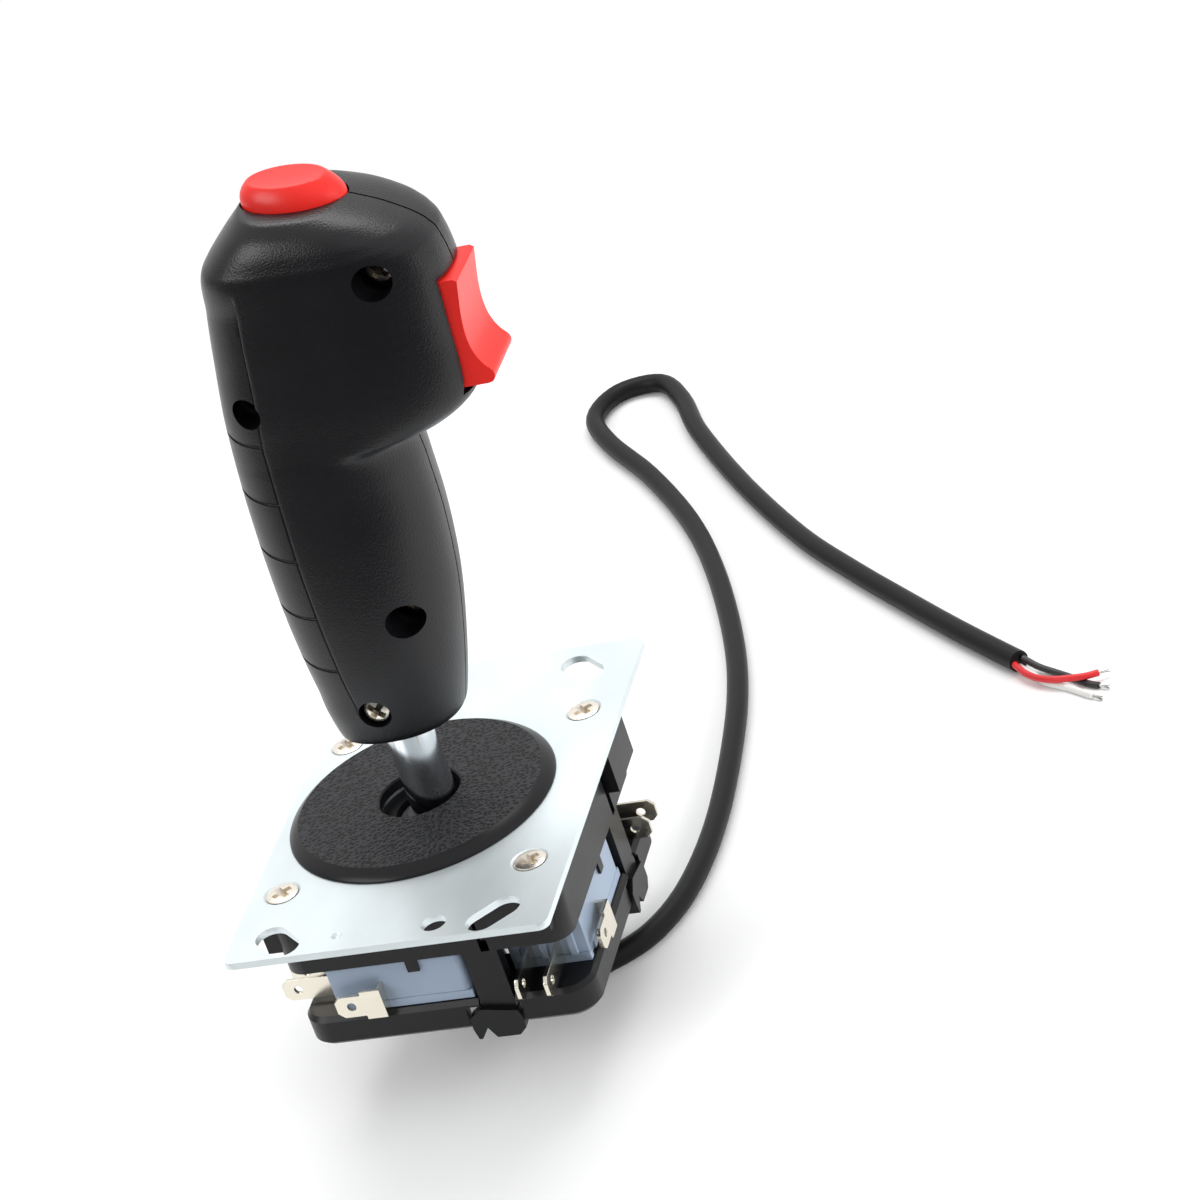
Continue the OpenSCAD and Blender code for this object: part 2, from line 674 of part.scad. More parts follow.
// Torsion spring round the pin, with one leg down the trigger and one against the shell
module trigger_spring() {
    r = 2.5;
    wire = 0.7;
    turns = 4;
    coil = [for (p = helix(r, 3.6, turns, 10)) [p[0], p[1], p[2] - 1.8]];
    legs = concat([[r, -9, -1.8], [r, -4, -1.8]], coil, [[r, 2, 1.8], [r - 2, 4.2, 1.8]]);
    color("silver") translate([trigger_pin[0], 0, trigger_pin[1]]) rotate([90, 0, 0]) rotate(180)
        mirror([0, 1, 0]) sweep(legs, wire, 6);
}

// A small snap switch case, lying along +X from the origin, plunger side up
module mini_case(plunger_x) {
    difference() {
        translate([0, -mini_t / 2, -mini_h]) cube([mini_l, mini_t, mini_h]);
        translate([plunger_x, 0, -3]) cylinder(d = mini_plunger_d + 0.2, h = 4);
        for (x = [5.2, 14.7]) translate([x, 0, -7.3]) rotate([90, 0, 0])
            cylinder(d = 2.2, h = 20, center = true);
    }
    for (x = [2, 9.4, 17]) translate([x, -1.6, -mini_h - 4]) cube([0.6, 3.2, 4.02]);
}

module button_switch() {
    color("#3b3d45") translate([button_switch_x, 0, button_switch_top])
        mini_case(button_x - button_switch_x);
}

module button_switch_plunger() {
    color("firebrick") translate([button_x, 0, button_switch_top - 1.6])
        cylinder(d = mini_plunger_d, h = 2.8);
}

module on_trigger_switch() {
    translate([trigger_switch_face, 0, trigger_switch_z]) rotate([0, 90, 0]) rotate(180) children();
}

module trigger_switch() {
    color("#3b3d45") on_trigger_switch() mini_case(trigger_plunger_z - trigger_switch_z);
}

module trigger_switch_plunger() {
    color("firebrick") on_trigger_switch() translate([trigger_plunger_z - trigger_switch_z, 0, -1.6])
        cylinder(d = mini_plunger_d, h = 2.8);
}

module oval(l, w, h) {
    scale([1, w / l, 1]) cylinder(d = l, h = h);
}

// Oval thumb button with a tapered crown, a retaining flange and a stem over its switch
module thumb_button() {
    stem_d = 3.4;
    color("#e8352f") translate([button_x, 0, 0]) {
        translate([0, 0, button_flange_z + 1.4])
            oval(button_l, button_w, button_rim - button_flange_z - 1.4);
        hull() {
            translate([0, 0, button_rim - eps]) oval(button_l, button_w, 0.6);
            translate([-0.2, 0, button_top - 1.3]) oval(button_l - 2.2, button_w - 1.3, eps);
            translate([-0.3, 0, button_top - eps]) oval(button_l - 4.8, button_w - 3, eps);
        }
        translate([0, 0, button_flange_z]) oval(button_l + 1.8, button_w + 1.8, 1.5);
        translate([0, 0, button_switch_top + 2])
            cylinder(d = stem_d, h = button_flange_z - button_switch_top - 1.9);
    }
}

module button_spring() {
    wire = 0.5;
    color("silver") translate([button_x, 0, button_switch_top + wire / 2 + 0.02])
        sweep(helix(2.7, button_flange_z - button_switch_top - wire - 0.04, 3, 12), wire, 6);
}

// The lead inside the shaft, up to the switches
module shaft_lead() {
    color("#222222") translate([0, 0, shaft_end + 0.3])
        cylinder(d = cable_d, h = shaft_top + 3.7 - shaft_end);
}

// Three cores from the top of the lead to the switch terminals in the grip
module grip_wires() {
    low = shaft_top + 4.3;
    color("firebrick") sweep(smooth([[1.2, 0, low], [1.6, 0, low + 9], [6, 0, low + 15.4], [11, 0, low + 18],
        [15.48, 0, low + 18]], 2), core_d, 8);
    color("#202020") sweep(smooth([[-1, 1.2, low], [-1.5, 3, low + 9], [3, 8, low + 22], [7, 6, low + 34],
        [7, 2.5, 108]], 2), core_d, 8);
    color("white") sweep(smooth([[-1, -1.2, low], [-1, -3, low + 9], [6, -8, low + 22], [12, -6, low + 34],
        [14, -2.5, 108]], 2), core_d, 8);
}

// Jacketed cable from the shaft's lower end down to the bench and along it
module cable() {
    color("#222222") sweep(smooth(CABLE_ROUTE, 2), cable_d, 10);
}

function core_path(i) = smooth([
    cut + CORE_START[i] + [0.5, -0.5, 0],
    cut + CORE_START[i] + [4, -3, -0.4],
    [(cut[0] + CORE_END[i][0]) / 2 + 1, (cut[1] + CORE_END[i][1]) / 2, core_lie + 0.4],
    [CORE_END[i][0], CORE_END[i][1], core_lie]], 3);

module core_red() {
    color("#d8232a") sweep(core_path(0), core_d, 8);
}

module core_black() {
    color("#1d1d1f") sweep(core_path(1), core_d, 8);
}

module core_white() {
    color("whitesmoke") sweep(core_path(2), core_d, 8);
}

// Tinned strands at the stripped ends
module core_tips() {
    color("silver") for (i = [0:2]) {
        path = core_path(i);
        end = path[len(path) - 1];
        way = tangent(path, len(path) - 1);
        sweep([end + 0.02 * way, end + tip_l * way], 0.8, 8);
    }
}

mounting_plate();
plate_screws();
dust_disc();
upper_housing();
bottom_frame();
for (i = [0:3]) {
    quarter(i) switch_case();
    quarter(i) switch_cover();
    quarter(i) switch_terminals();
    quarter(i) switch_plunger();
}
pivot_bush();
pivot_ball();
shaft();
centring_spring();
actuator();
retaining_clip();
grip_right();
grip_left();
grip_screws();
trigger();
trigger_pin();
trigger_spring();
trigger_switch();
trigger_switch_plunger();
thumb_button();
button_spring();
button_switch();
button_switch_plunger();
shaft_lead();
grip_wires();
cable();
core_red();
core_black();
core_white();
core_tips();
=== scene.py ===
"""Looks for the panel-mounted flight joystick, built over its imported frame. Sizes are in millimetres."""
import math

import bmesh
import bpy
from bpy.props import FloatProperty, FloatVectorProperty, PointerProperty
from mathutils import Matrix, Vector


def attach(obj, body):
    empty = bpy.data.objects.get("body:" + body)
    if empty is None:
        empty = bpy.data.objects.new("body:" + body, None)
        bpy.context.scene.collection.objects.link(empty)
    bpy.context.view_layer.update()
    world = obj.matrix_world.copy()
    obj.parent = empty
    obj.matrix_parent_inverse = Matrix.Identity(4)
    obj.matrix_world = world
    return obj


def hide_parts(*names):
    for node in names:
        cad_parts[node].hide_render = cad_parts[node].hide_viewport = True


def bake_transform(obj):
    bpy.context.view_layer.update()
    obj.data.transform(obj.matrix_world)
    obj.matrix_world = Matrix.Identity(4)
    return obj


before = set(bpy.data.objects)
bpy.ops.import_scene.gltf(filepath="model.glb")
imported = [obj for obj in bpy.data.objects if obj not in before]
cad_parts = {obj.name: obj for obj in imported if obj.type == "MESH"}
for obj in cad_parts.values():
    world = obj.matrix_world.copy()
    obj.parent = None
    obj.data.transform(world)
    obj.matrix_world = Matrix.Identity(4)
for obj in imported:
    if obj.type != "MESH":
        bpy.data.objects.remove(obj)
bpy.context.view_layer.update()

bl_info = {
    "name": "Flight Joystick",
    "version": (1, 0, 0),
    "blender": (4, 5, 0),
    "location": "View3D > Sidebar > Joystick",
    "description": "Builds the visible pieces and the stage of a panel-mounted flight joystick",
    "category": "Object",
}

MM = 0.001
SIDES = ("front", "right", "back", "left")

# Grip stations: height, back, front, half-width, squareness of the back and of the front
GRIP = [
    (21, -11.5, 12.6, 10.6, 2.3, 2.2),
    (22.6, -12.2, 13.8, 11.8, 2.3, 2.2),
    (34, -13.3, 17.3, 14, 2.4, 2.2),
    (48, -13.8, 20.7, 15, 2.5, 2.2),
    (62, -13.6, 22.6, 15.2, 2.5, 2.2),
    (74, -12.9, 23.1, 14.9, 2.6, 2.2),
    (81.2, -12.2, 23.4, 14.75, 2.72, 2.3),
    (83.2, -11.98, 27.6, 14.72, 2.75, 2.4),
    (84.3, -11.85, 33.2, 14.72, 2.78, 2.5),
    (87.6, -11.4, 37.8, 14.8, 2.84, 2.6),
    (93, -10.6, 39.5, 15, 2.95, 2.6),
    (102, -9.1, 40, 15, 3, 2.6),
    (112, -7, 40.5, 15, 3, 2.6),
    (118, -5.2, 39.7, 15.2, 3, 2.6),
    (120.6, -4.1, 38.55, 15.15, 3, 2.65),
    (122.2, -2.5, 37.65, 14.85, 2.9, 2.7),
    (124.6, 0.5, 35.55, 14.2, 2.8, 2.8),
    (127, 3.3, 31.75, 13, 2.7, 2.8),
    (128.9, 5.2, 26.8, 11.1, 2.5, 2.6),
    (129.4, 5.9, 25.2, 9.5, 2.5, 2.5),
]
GRIP_LOW = GRIP[0][0]
GRIP_HIGH = GRIP[-1][0]
# Outlines from one station to the next, on the skin and in the hollow
SKIN_STEPS = 9
HOLLOW_STEPS = 3
# Points on half an outline: round the front, along the cheek and over the back strip
FRONT_POINTS = 26
CHEEK_POINTS = 14
BACK_POINTS = 20
# Height and place of the outline's widest point, which moves evenly past the shelf under the head
GRIP_MIDDLE = [
    (21, 0.3), (34, 2), (48, 3.4), (62, 4.6), (74, 6.3), (81.2, 8.1), (87.6, 10.4), (93, 12.4),
    (102, 15.2), (112, 16.7), (118, 17.2), (122.2, 16.8), (127, 16.1), (129.4, 15.5),
]
# Round the shelf the hollow rises by a share of the wall, so that the wall stays even
SHELF_HEIGHT = 84
SHELF_REACH = 9
SHELF_RISE = 0.85
# Heights between which the crown takes its slope, in millimetres of fall for each one forwards
CROWN = (118, 127)
CROWN_SLOPE = 0.1

# The back strip: height and place of its edge, where it fades in and out, and where it lies deeper
STRIP_EDGE = [
    (24, -2), (36, -2.9), (48, -3.1), (62, -2.9), (75, -2.3), (87, -1.5), (94, -0.2), (108, 1.8),
    (119.5, 4),
]
STRIP_FOOT = (27, 33)
STRIP_HEAD = (119.5, 113)
STRIP_DEEPER = (90, 104)
STRIP_EXTRA = 0.6
# The fine groove at the strip's edge: depth, width as an angle, and where it fades out
EDGE_GROOVE = 0.3
EDGE_LIP = 0.012
EDGE_HEAD = (117, 108)
# Cross grooves: heights at the strip's edge, rise to the middle and its bend, depth of the cutter's middle,
# and the angle by which the cutter passes the edge
STRIP_GROOVES = (88, 76, 64, 51.5, 39.5)
GROOVE_RISE = 3.4
GROOVE_BEND = 1.4
GROOVE_SINK = 0.12
GROOVE_POINTS = 24
GROOVE_SIDES = 10
GROOVE_PAST_EDGE = 0.004

# Grip screws: forward, up, plane of the head's seat, well diameter, shank length
GRIP_SCREWS = [
    (29.8, 116, -6.4, 7, 16.5),
    (-2.2, 94.8, -3.4, 6, 13.5),
    (12.9, 47.4, -3.4, 7, 13.5),
    (0.5, 28.7, -9.9, 6.4, 6.8),
]
BOSS_RADIUS = 4.6
SHAFT_HOLE_RADIUS = 5
SHAFT_HOLE_TOP = 40
# Where the cutters end, which is well past the grip's skin
PAST_SIDE = 40
PAST_BACK = -60
PAST_FRONT = 80
PAST_TOP = 160
BOSS_REACH = 20
WELL_START = -30

# Trigger: its pin, the opening in the grip, and its outline of forward and up
TRIGGER_PIN = (33.5, 107.4)
TRIGGER_PIN_HOLE = 1.55
TRIGGER_PIN_REACH = 20
TRIGGER_SLOT = (88.4, 111.5)
TRIGGER_SLOT_HALF = 7.25
TRIGGER_SLOT_BACK = 31
TRIGGER_SLOT_FRONT = 60
TRIGGER_HALF = 6.9
TRIGGER_EDGE = 0.6
TRIGGER_TOP = [(33.5, 110.9), (41.7, 110.9)]
TRIGGER_FRONT = [
    (42.4, 110.4), (41.8, 107.5), (41.1, 104), (40.7, 100.5), (40.8, 97.5), (41.4, 95.2),
    (42.3, 93.5), (43.2, 92.4), (43.5, 91.5), (43.3, 90.6), (42.7, 90),
]
TRIGGER_BACK = [
    (41.8, 89.8), (35.6, 89.8), (34.6, 91), (34.6, 96), (34.2, 102), (31.2, 105), (30.4, 107.4),
    (31.2, 109.8),
]
# Lowest and highest corners of the pad that meets the switch, of the spring's room and of the roof over it
TRIGGER_PAD = ((31.8, -3, 91), (36, 3, 93.2))
TRIGGER_ROOM = ((28, -2.7, 94.5), (37.5, 2.7, 112))
TRIGGER_ROOF = ((36, -3, 108), (40, 3, 110.9))

# Thumb button: its place, its opening in the grip, and height, half-length and half-width of its rows, from
# the stem over the flange and the skirt to the dished top
BUTTON_X = 15.8
BUTTON_HOLE = 10.15
BUTTON_SQUEEZE = 0.675
BUTTON_HOLE_HEIGHTS = (118, 140)
BUTTON_ROWS = [
    (122.2, 1.7, 1.7), (123, 1.7, 1.7),
    (123, 10.7, 7.4), (124.5, 10.7, 7.4),
    (124.5, 9.8, 6.5), (129.2, 9.8, 6.5), (129.9, 9.78, 6.48), (130.7, 9.55, 6.35), (131.6, 9.1, 6.05),
    (132.4, 8.5, 5.65), (133, 7.9, 5.25), (133.32, 7.55, 5.02), (133.46, 7.32, 4.88), (133.5, 7.05, 4.7),
    (133.46, 6.7, 4.45), (133.34, 5.2, 3.4), (133.24, 3, 2), (133.2, 0.6, 0.4),
]
# Heights between which the button takes the crown's slope and leans back a little
BUTTON_SLOPE = (125, 129)
BUTTON_LEANING = (129.3, 133)
BUTTON_LEAN = -0.3

# Turned shapes are profiles of radius and height; one without a bore stops just short of its axis
AXIS = 0.02
SCREW_PITCH = 50.6
PLATE_SCREW = [
    (AXIS, -11), (1.3, -11), (1.5, -10.6), (1.5, -1.45), (3.2, -0.2), (3.2, -0.05), (2.9, 0.1), (1.6, 0.16),
    (AXIS, 0.18),
]
GRIP_SCREW_TIP = [(AXIS, 0), (1.1, 0), (1.4, 0.6)]
GRIP_SCREW_HEAD = [(1.4, 0.02), (2.7, 0.02), (2.7, 1), (2.4, 1.6), (1.6, 1.9), (AXIS, 2)]
# Screwdriver recesses: size across, depth; and the height in a grip screw's head that one starts at
PLATE_RECESS = (4.4, 1.4)
GRIP_RECESS = (4.2, 2.3)
GRIP_RECESS_TOP = 1.9
# The shaft is a tube with a groove for the clip; its lower end clears the cable as it tilts
SHAFT = [
    (2.8, -33.6), (4.2, -33.6), (4.8, -33), (4.8, -28.55), (3.9, -28.55), (3.9, -27.65), (4.8, -27.65),
    (4.8, 65.2), (4, 66), (2.8, 66),
]
DISC = [
    (8.2, 0.02), (27, 0.02), (27.15, 0.15), (27.1, 0.35), (26.85, 0.7), (26.35, 1.2), (25.7, 1.7),
    (25, 2.14), (24.85, 2.22), (8.5, 2.22), (8.2, 1.9),
]
DISC_REST = (-2.7, 0.4)
# Springs: radii and heights of foot and head, turns, wire
CENTRING_SPRING = ((8.6, 7), (-16.4, -13.85), 2.5, 1.1)
BUTTON_SPRING = ((3.7, 2.4), (120.47, 122.73), 3, 0.5)
COIL_STEPS = 24
COIL_SIDES = 10
# CAD nodes inside the base and the grip, and their finishes
INNER_FINISHES = {
    "pivot_bush": "bush_nylon",
    "pivot_ball": "actuator_nylon",
    "actuator": "actuator_nylon",
    "retaining_clip": "spring_steel",
    "trigger_pin": "plated_steel",
    "trigger_spring": "spring_steel",
    "trigger_switch": "mini_switch",
    "button_switch": "mini_switch",
    "trigger_switch_plunger": "plunger_plastic",
    "button_switch_plunger": "plunger_plastic",
    "shaft_lead": "cable_pvc",
    "grip_wires": "core_red",
}
# Edge radii on the base's metal and small pieces
PLATE_EDGE = 0.22
COVER_EDGE = 0.2
SMALL_EDGE = 0.1
# Edges of CAD solids that turn by more than this angle are rounded
EDGE_ANGLE = 40
WELD_DISTANCE = 0.001

# Surface patterns: faint clouds in moulded plastic and in paper, and the pits of the disc's grain
PLASTIC_CLOUD = 14
PAPER_CLOUD = 60
DISC_PIT = 0.8
DISC_PIT_DEPTH = 0.4
# The upright part of a face's direction, from the disc's rim to its flat top
DISC_FLAT = (0.97, 0.995)

# The cable and its cores lie on the bench
BENCH = -52.5
JACKET = 4.8
CORE = 1.5
CABLE_LIE = BENCH + JACKET / 2
CORE_LIE = BENCH + CORE / 2
CABLE_ROUTE = [
    (0, 0, -34), (0, 0, -37.5), (0.8, 0.4, -41.4), (3, 1.6, -45.2), (6.6, 3.6, -48.2), (11.6, 6.5, -49.8),
    (18.5, 11, CABLE_LIE), (26, 18.5, CABLE_LIE), (31, 32, CABLE_LIE), (33, 53, CABLE_LIE),
    (32, 79, CABLE_LIE), (29, 106, CABLE_LIE), (23.5, 131, CABLE_LIE), (14, 161, CABLE_LIE),
    (3, 187, CABLE_LIE), (-12, 213, CABLE_LIE), (-27, 234, CABLE_LIE), (-34, 249, CABLE_LIE),
    (-30, 261, CABLE_LIE), (-19, 262.5, CABLE_LIE), (-11, 251, CABLE_LIE), (-3, 232, CABLE_LIE),
    (14, 201, CABLE_LIE), (33, 171.5, CABLE_LIE), (48, 152.5, CABLE_LIE), (63, 135, CABLE_LIE),
    (78, 118, CABLE_LIE), (93, 102, CABLE_LIE),
]
# The red core leaves the jacket in front and crosses over the other two, which lie on the bench
CORE_ROUTES = {
    "core_red": [
        (92.1, 101, -50.1), (94.9, 97.3, -50.5), (98.2, 94.4, -50.4), (101.7, 92.8, -50.2),
        (105.2, 92.4, -50.2), (108.4, 92.7, -50.4), (111, 93.8, -50.7),
    ],
    "core_black": [
        (93.9, 102.4, -49.7), (97.3, 100, -50.9), (101.2, 97.9, -51.7), (104.2, 95.6, CORE_LIE),
        (107, 93.2, CORE_LIE), (109.1, 91.5, CORE_LIE), (111.2, 90.4, CORE_LIE),
    ],
    "core_white": [
        (92.9, 101.7, -51.3), (96.2, 98.2, -51.7), (99.6, 94.3, CORE_LIE), (104.2, 91.4, CORE_LIE),
        (108.2, 88.3, CORE_LIE), (110.3, 86.7, CORE_LIE),
    ],
}
ROUTE_STEPS = 6
# Bare strands of a core: one in the middle, the others in a ring that opens towards the tips
STRANDS = 7
STRAND_RADIUS = 0.13
STRAND_SIDES = 8
STRAND_RING = 0.23
STRAND_INSIDE = 0.6
STRAND_STRAIGHT = 1.1
STRAND_REACH = 2.1
STRAND_UNEVEN = 0.3
STRAND_SPLAY = 1.7

# The camera of the photograph: a long lens, rolled because the real object leaned
CAMERA_PLACE = (279.4, -614.0, 386.0)
CAMERA_AIM = (28.0, 46.9, 11.8)
CAMERA_ROLL = 18.97
CAMERA_LENS = 120
CAMERA_SENSOR = 36
# Softboxes: place, what they face, width and height
SOFTBOXES = {
    "overhead_softbox": ((20, 560, 1230), (0, 20, 60), (1200, 560)),
    "left_softbox": ((-740, -760, 620), (0, 0, 100), (800, 520)),
    "right_softbox": ((890, -150, 300), (0, 0, 60), (700, 500)),
}
BENCH_CORNERS = [(-1600, -150), (1600, -150), (1600, 2600), (-1600, 2600)]
# The bench fades to plain white between these distances from its middle
BENCH_MIDDLE = (40, 120)
BENCH_FADE = (170, 420)
# Where the surround is white, up and behind; the room in front is dimmer
SURROUND_WAY = (0.2, 0.55, 0.81)
SURROUND_BLEND = (-0.5, 0.5)


def linear(hex_colour):
    """Linear RGBA of an sRGB hex colour."""
    channels = [int(hex_colour[i:i + 2], 16) / 255 for i in (1, 3, 5)]
    return tuple(c / 12.92 if c <= 0.04045 else ((c + 0.055) / 1.055) ** 2.4 for c in channels) + (1.0,)


def length(name, description, default, low, high):
    """A length that a user may change, given in millimetres."""
    return FloatProperty(name=name, description=description, default=default * MM, min=low * MM,
                         max=high * MM, precision=5, subtype="DISTANCE", unit="LENGTH")


def tint(name, description, hex_colour):
    """A colour that a user may change."""
    return FloatVectorProperty(name=name, description=description, subtype="COLOR", size=4, min=0, max=1,
                               default=linear(hex_colour))


def lamp_power(name, description, default):
    """A lamp's power that a user may change, in watts."""
    return FloatProperty(name=name, description=description, default=default, min=0, max=200, unit="POWER")


def share(name, description, default):
    """A share from none to all that a user may change."""
    return FloatProperty(name=name, description=description, default=default, min=0, max=1,
                         subtype="FACTOR")


class JoystickGrip(bpy.types.PropertyGroup):
    """Sizes and colours of the grip and its controls"""
    wall: length("Wall", "Thickness of the grip shells", 2.4, 1.6, 2.8)
    parting: length("Parting gap", "Half of the gap between the two grip halves", 0.22, 0.02, 0.3)
    step: length("Strip step", "How far the back strip lies below the cheeks", 0.4, 0, 0.8)
    groove: length("Groove width", "Width of the strip's cross grooves", 0.8, 0.4, 1.6)
    colour: tint("Shell colour", "Colour of the grip", "#0c0c10")
    red: tint("Control colour", "Colour of the trigger and the thumb button", "#f22d26")


class JoystickBase(bpy.types.PropertyGroup):
    """Edge radius and colours of the base"""
    edge: length("Edge radius", "Radius on the base's moulded edges", 0.3, 0.05, 0.6)
    housing: tint("Housing colour", "Colour of the housing and the bottom frame", "#0d0d10")
    switch: tint("Switch colour", "Colour of the snap switches", "#92a1b5")
    disc: tint("Disc colour", "Colour of the dust disc", "#232325")


class JoystickCable(bpy.types.PropertyGroup):
    """Diameters of the cable and its cores"""
    diameter: length("Jacket diameter", "Diameter of the cable's jacket", JACKET, 4, 5)
    core: length("Core diameter", "Diameter of one insulated core", CORE, 1.2, 1.7)


class JoystickStage(bpy.types.PropertyGroup):
    """Brightness of the lamps and the surround"""
    top: lamp_power("Overhead softbox", "Power of the wide softbox above", 9)
    left: lamp_power("Left softbox", "Power of the wide softbox at the left in front", 6.3)
    right: lamp_power("Right softbox", "Power of the wide softbox at the right", 5.6)
    back: share("Backdrop", "Brightness of the white surround behind", 1)
    room: share("Room", "Brightness of the room in front", 0.2)
    sky: share("Sky share", "Share of the surround that lights matt surfaces", 0.65)


def settings():
    """The user's settings for the grip, the base and the cable."""
    scene = bpy.context.scene
    return scene.joystick_grip, scene.joystick_base, scene.joystick_cable


def add_node(tree, kind, links=None, **values):
    """Adds a shader node, sets its inputs or attributes, and links its inputs."""
    node = tree.nodes.new(kind)
    for key, value in values.items():
        if key in node.inputs:
            node.inputs[key].default_value = value
        else:
            setattr(node, key, value)
    for key, source in (links or {}).items():
        tree.links.new(source, node.inputs[key])
    return node


def new_material(name, **values):
    """A material with a Principled shader; returns its tree, shader and object coordinates."""
    material = bpy.data.materials.new(name)
    material.use_nodes = True
    tree = material.node_tree
    shader = tree.nodes["Principled BSDF"]
    for key, value in values.items():
        shader.inputs[key].default_value = value
    coords = add_node(tree, "ShaderNodeTexCoord").outputs["Object"]
    return material, tree, shader, coords


def per_mm(size):
    """Texture scale for a feature of this size in millimetres."""
    return 1 / (size * MM)


def times(colour, factor):
    """A colour made darker or lighter, as an opaque one."""
    return [min(1, c * factor) for c in colour[:3]] + [1]


def moulded(name, colour, roughness, grain, depth, spread=0.1, shine=0.5, detail=2.0):
    """Moulded plastic.

    Its grain's size and depth are in millimetres, spread is how far its roughness wanders, shine is its
    mirror share, and detail is how finely the grain breaks up.
    """
    material, tree, shader, coords = new_material(name, **{"Specular IOR Level": shine})
    cloud = add_node(tree, "ShaderNodeTexNoise", {"Vector": coords}, Scale=per_mm(PLASTIC_CLOUD), Detail=3.0)
    tone = add_node(tree, "ShaderNodeValToRGB", {"Fac": cloud.outputs["Fac"]})
    tone.color_ramp.elements[0].color = times(colour, 0.88)
    tone.color_ramp.elements[1].color = times(colour, 1.1)
    tree.links.new(tone.outputs["Color"], shader.inputs["Base Color"])
    gloss = add_node(tree, "ShaderNodeMapRange", {"Value": cloud.outputs["Fac"]}, **{
        "To Min": roughness - spread / 2, "To Max": roughness + spread / 2})
    tree.links.new(gloss.outputs["Result"], shader.inputs["Roughness"])
    fine = add_node(tree, "ShaderNodeTexNoise", {"Vector": coords}, Scale=per_mm(grain), Detail=detail)
    bump = add_node(tree, "ShaderNodeBump", {"Height": fine.outputs["Fac"]}, Strength=1.0,
                    Distance=depth * MM)
    tree.links.new(bump.outputs["Normal"], shader.inputs["Normal"])
    return material


def metal(name, colour, roughness, streak, depth, stretch=(1, 1, 1), spread=0.15, mottle=0.9, bare=1.0):
    """Plated or drawn metal with faint streaks.

    The streaks' size and depth are in millimetres, stretch draws them out, mottle darkens them, spread is
    how far the roughness wanders, and bare is the share of the metal that no hazy film covers.
    """
    material, tree, shader, coords = new_material(name, Metallic=bare)
    place = add_node(tree, "ShaderNodeMapping", {"Vector": coords}, Scale=stretch)
    marks = add_node(tree, "ShaderNodeTexNoise", {"Vector": place.outputs["Vector"]}, Scale=per_mm(streak),
                     Detail=4.0)
    tone = add_node(tree, "ShaderNodeValToRGB", {"Fac": marks.outputs["Fac"]})
    tone.color_ramp.elements[0].color = times(colour, mottle)
    tone.color_ramp.elements[1].color = times(colour, 1.05)
    tree.links.new(tone.outputs["Color"], shader.inputs["Base Color"])
    gloss = add_node(tree, "ShaderNodeMapRange", {"Value": marks.outputs["Fac"]}, **{
        "To Min": max(0.02, roughness - spread / 2), "To Max": roughness + spread / 2})
    tree.links.new(gloss.outputs["Result"], shader.inputs["Roughness"])
    bump = add_node(tree, "ShaderNodeBump", {"Height": marks.outputs["Fac"]}, Strength=1.0,
                    Distance=depth * MM)
    tree.links.new(bump.outputs["Normal"], shader.inputs["Normal"])
    return material


def leather_disc(name, colour):
    """Polypropylene with a moulded leather grain of small pits on its flat top and a smooth, glossy rim; the
    shade in the pits is painted into the colour.
    """
    material, tree, shader, coords = new_material(name, **{"Specular IOR Level": 0.18})
    geometry = add_node(tree, "ShaderNodeNewGeometry")
    up = add_node(tree, "ShaderNodeSeparateXYZ", {"Vector": geometry.outputs["True Normal"]})
    flat = add_node(tree, "ShaderNodeMapRange", {"Value": up.outputs["Z"]}, **{
        "From Min": DISC_FLAT[0], "From Max": DISC_FLAT[1]})
    cells = add_node(tree, "ShaderNodeTexVoronoi", {"Vector": coords}, Scale=per_mm(DISC_PIT),
                     feature="SMOOTH_F1", Smoothness=0.2)
    pits_and_shade = add_node(tree, "ShaderNodeMath", {0: cells.outputs["Distance"], 1: flat.outputs["Result"]},
                    operation="MULTIPLY")
    rim = add_node(tree, "ShaderNodeMapRange", {"Value": flat.outputs["Result"]}, **{
        "To Min": 0.36, "To Max": 0.0})
    level = add_node(tree, "ShaderNodeMath", {0: pits_and_shade.outputs["Value"], 1: rim.outputs["Result"]},
                     operation="ADD")
    # Painted shade: the colour is darkest at each pit's middle and lighter between the pits; the rim takes
    # one even tone
    tone = add_node(tree, "ShaderNodeValToRGB", {"Fac": level.outputs["Value"]})
    tone.color_ramp.elements[0].position = 0.2
    tone.color_ramp.elements[1].position = 0.62
    tone.color_ramp.elements[0].color = times(colour, 0.05)
    tone.color_ramp.elements[1].color = times(colour, 1.8)
    tree.links.new(tone.outputs["Color"], shader.inputs["Base Color"])
    bump = add_node(tree, "ShaderNodeBump", {"Height": pits_and_shade.outputs["Value"]}, Strength=1.0,
                    Distance=DISC_PIT_DEPTH * MM)
    tree.links.new(bump.outputs["Normal"], shader.inputs["Normal"])
    gloss = add_node(tree, "ShaderNodeMapRange", {"Value": flat.outputs["Result"]}, **{
        "To Min": 0.28, "To Max": 0.5})
    tree.links.new(gloss.outputs["Result"], shader.inputs["Roughness"])
    return material


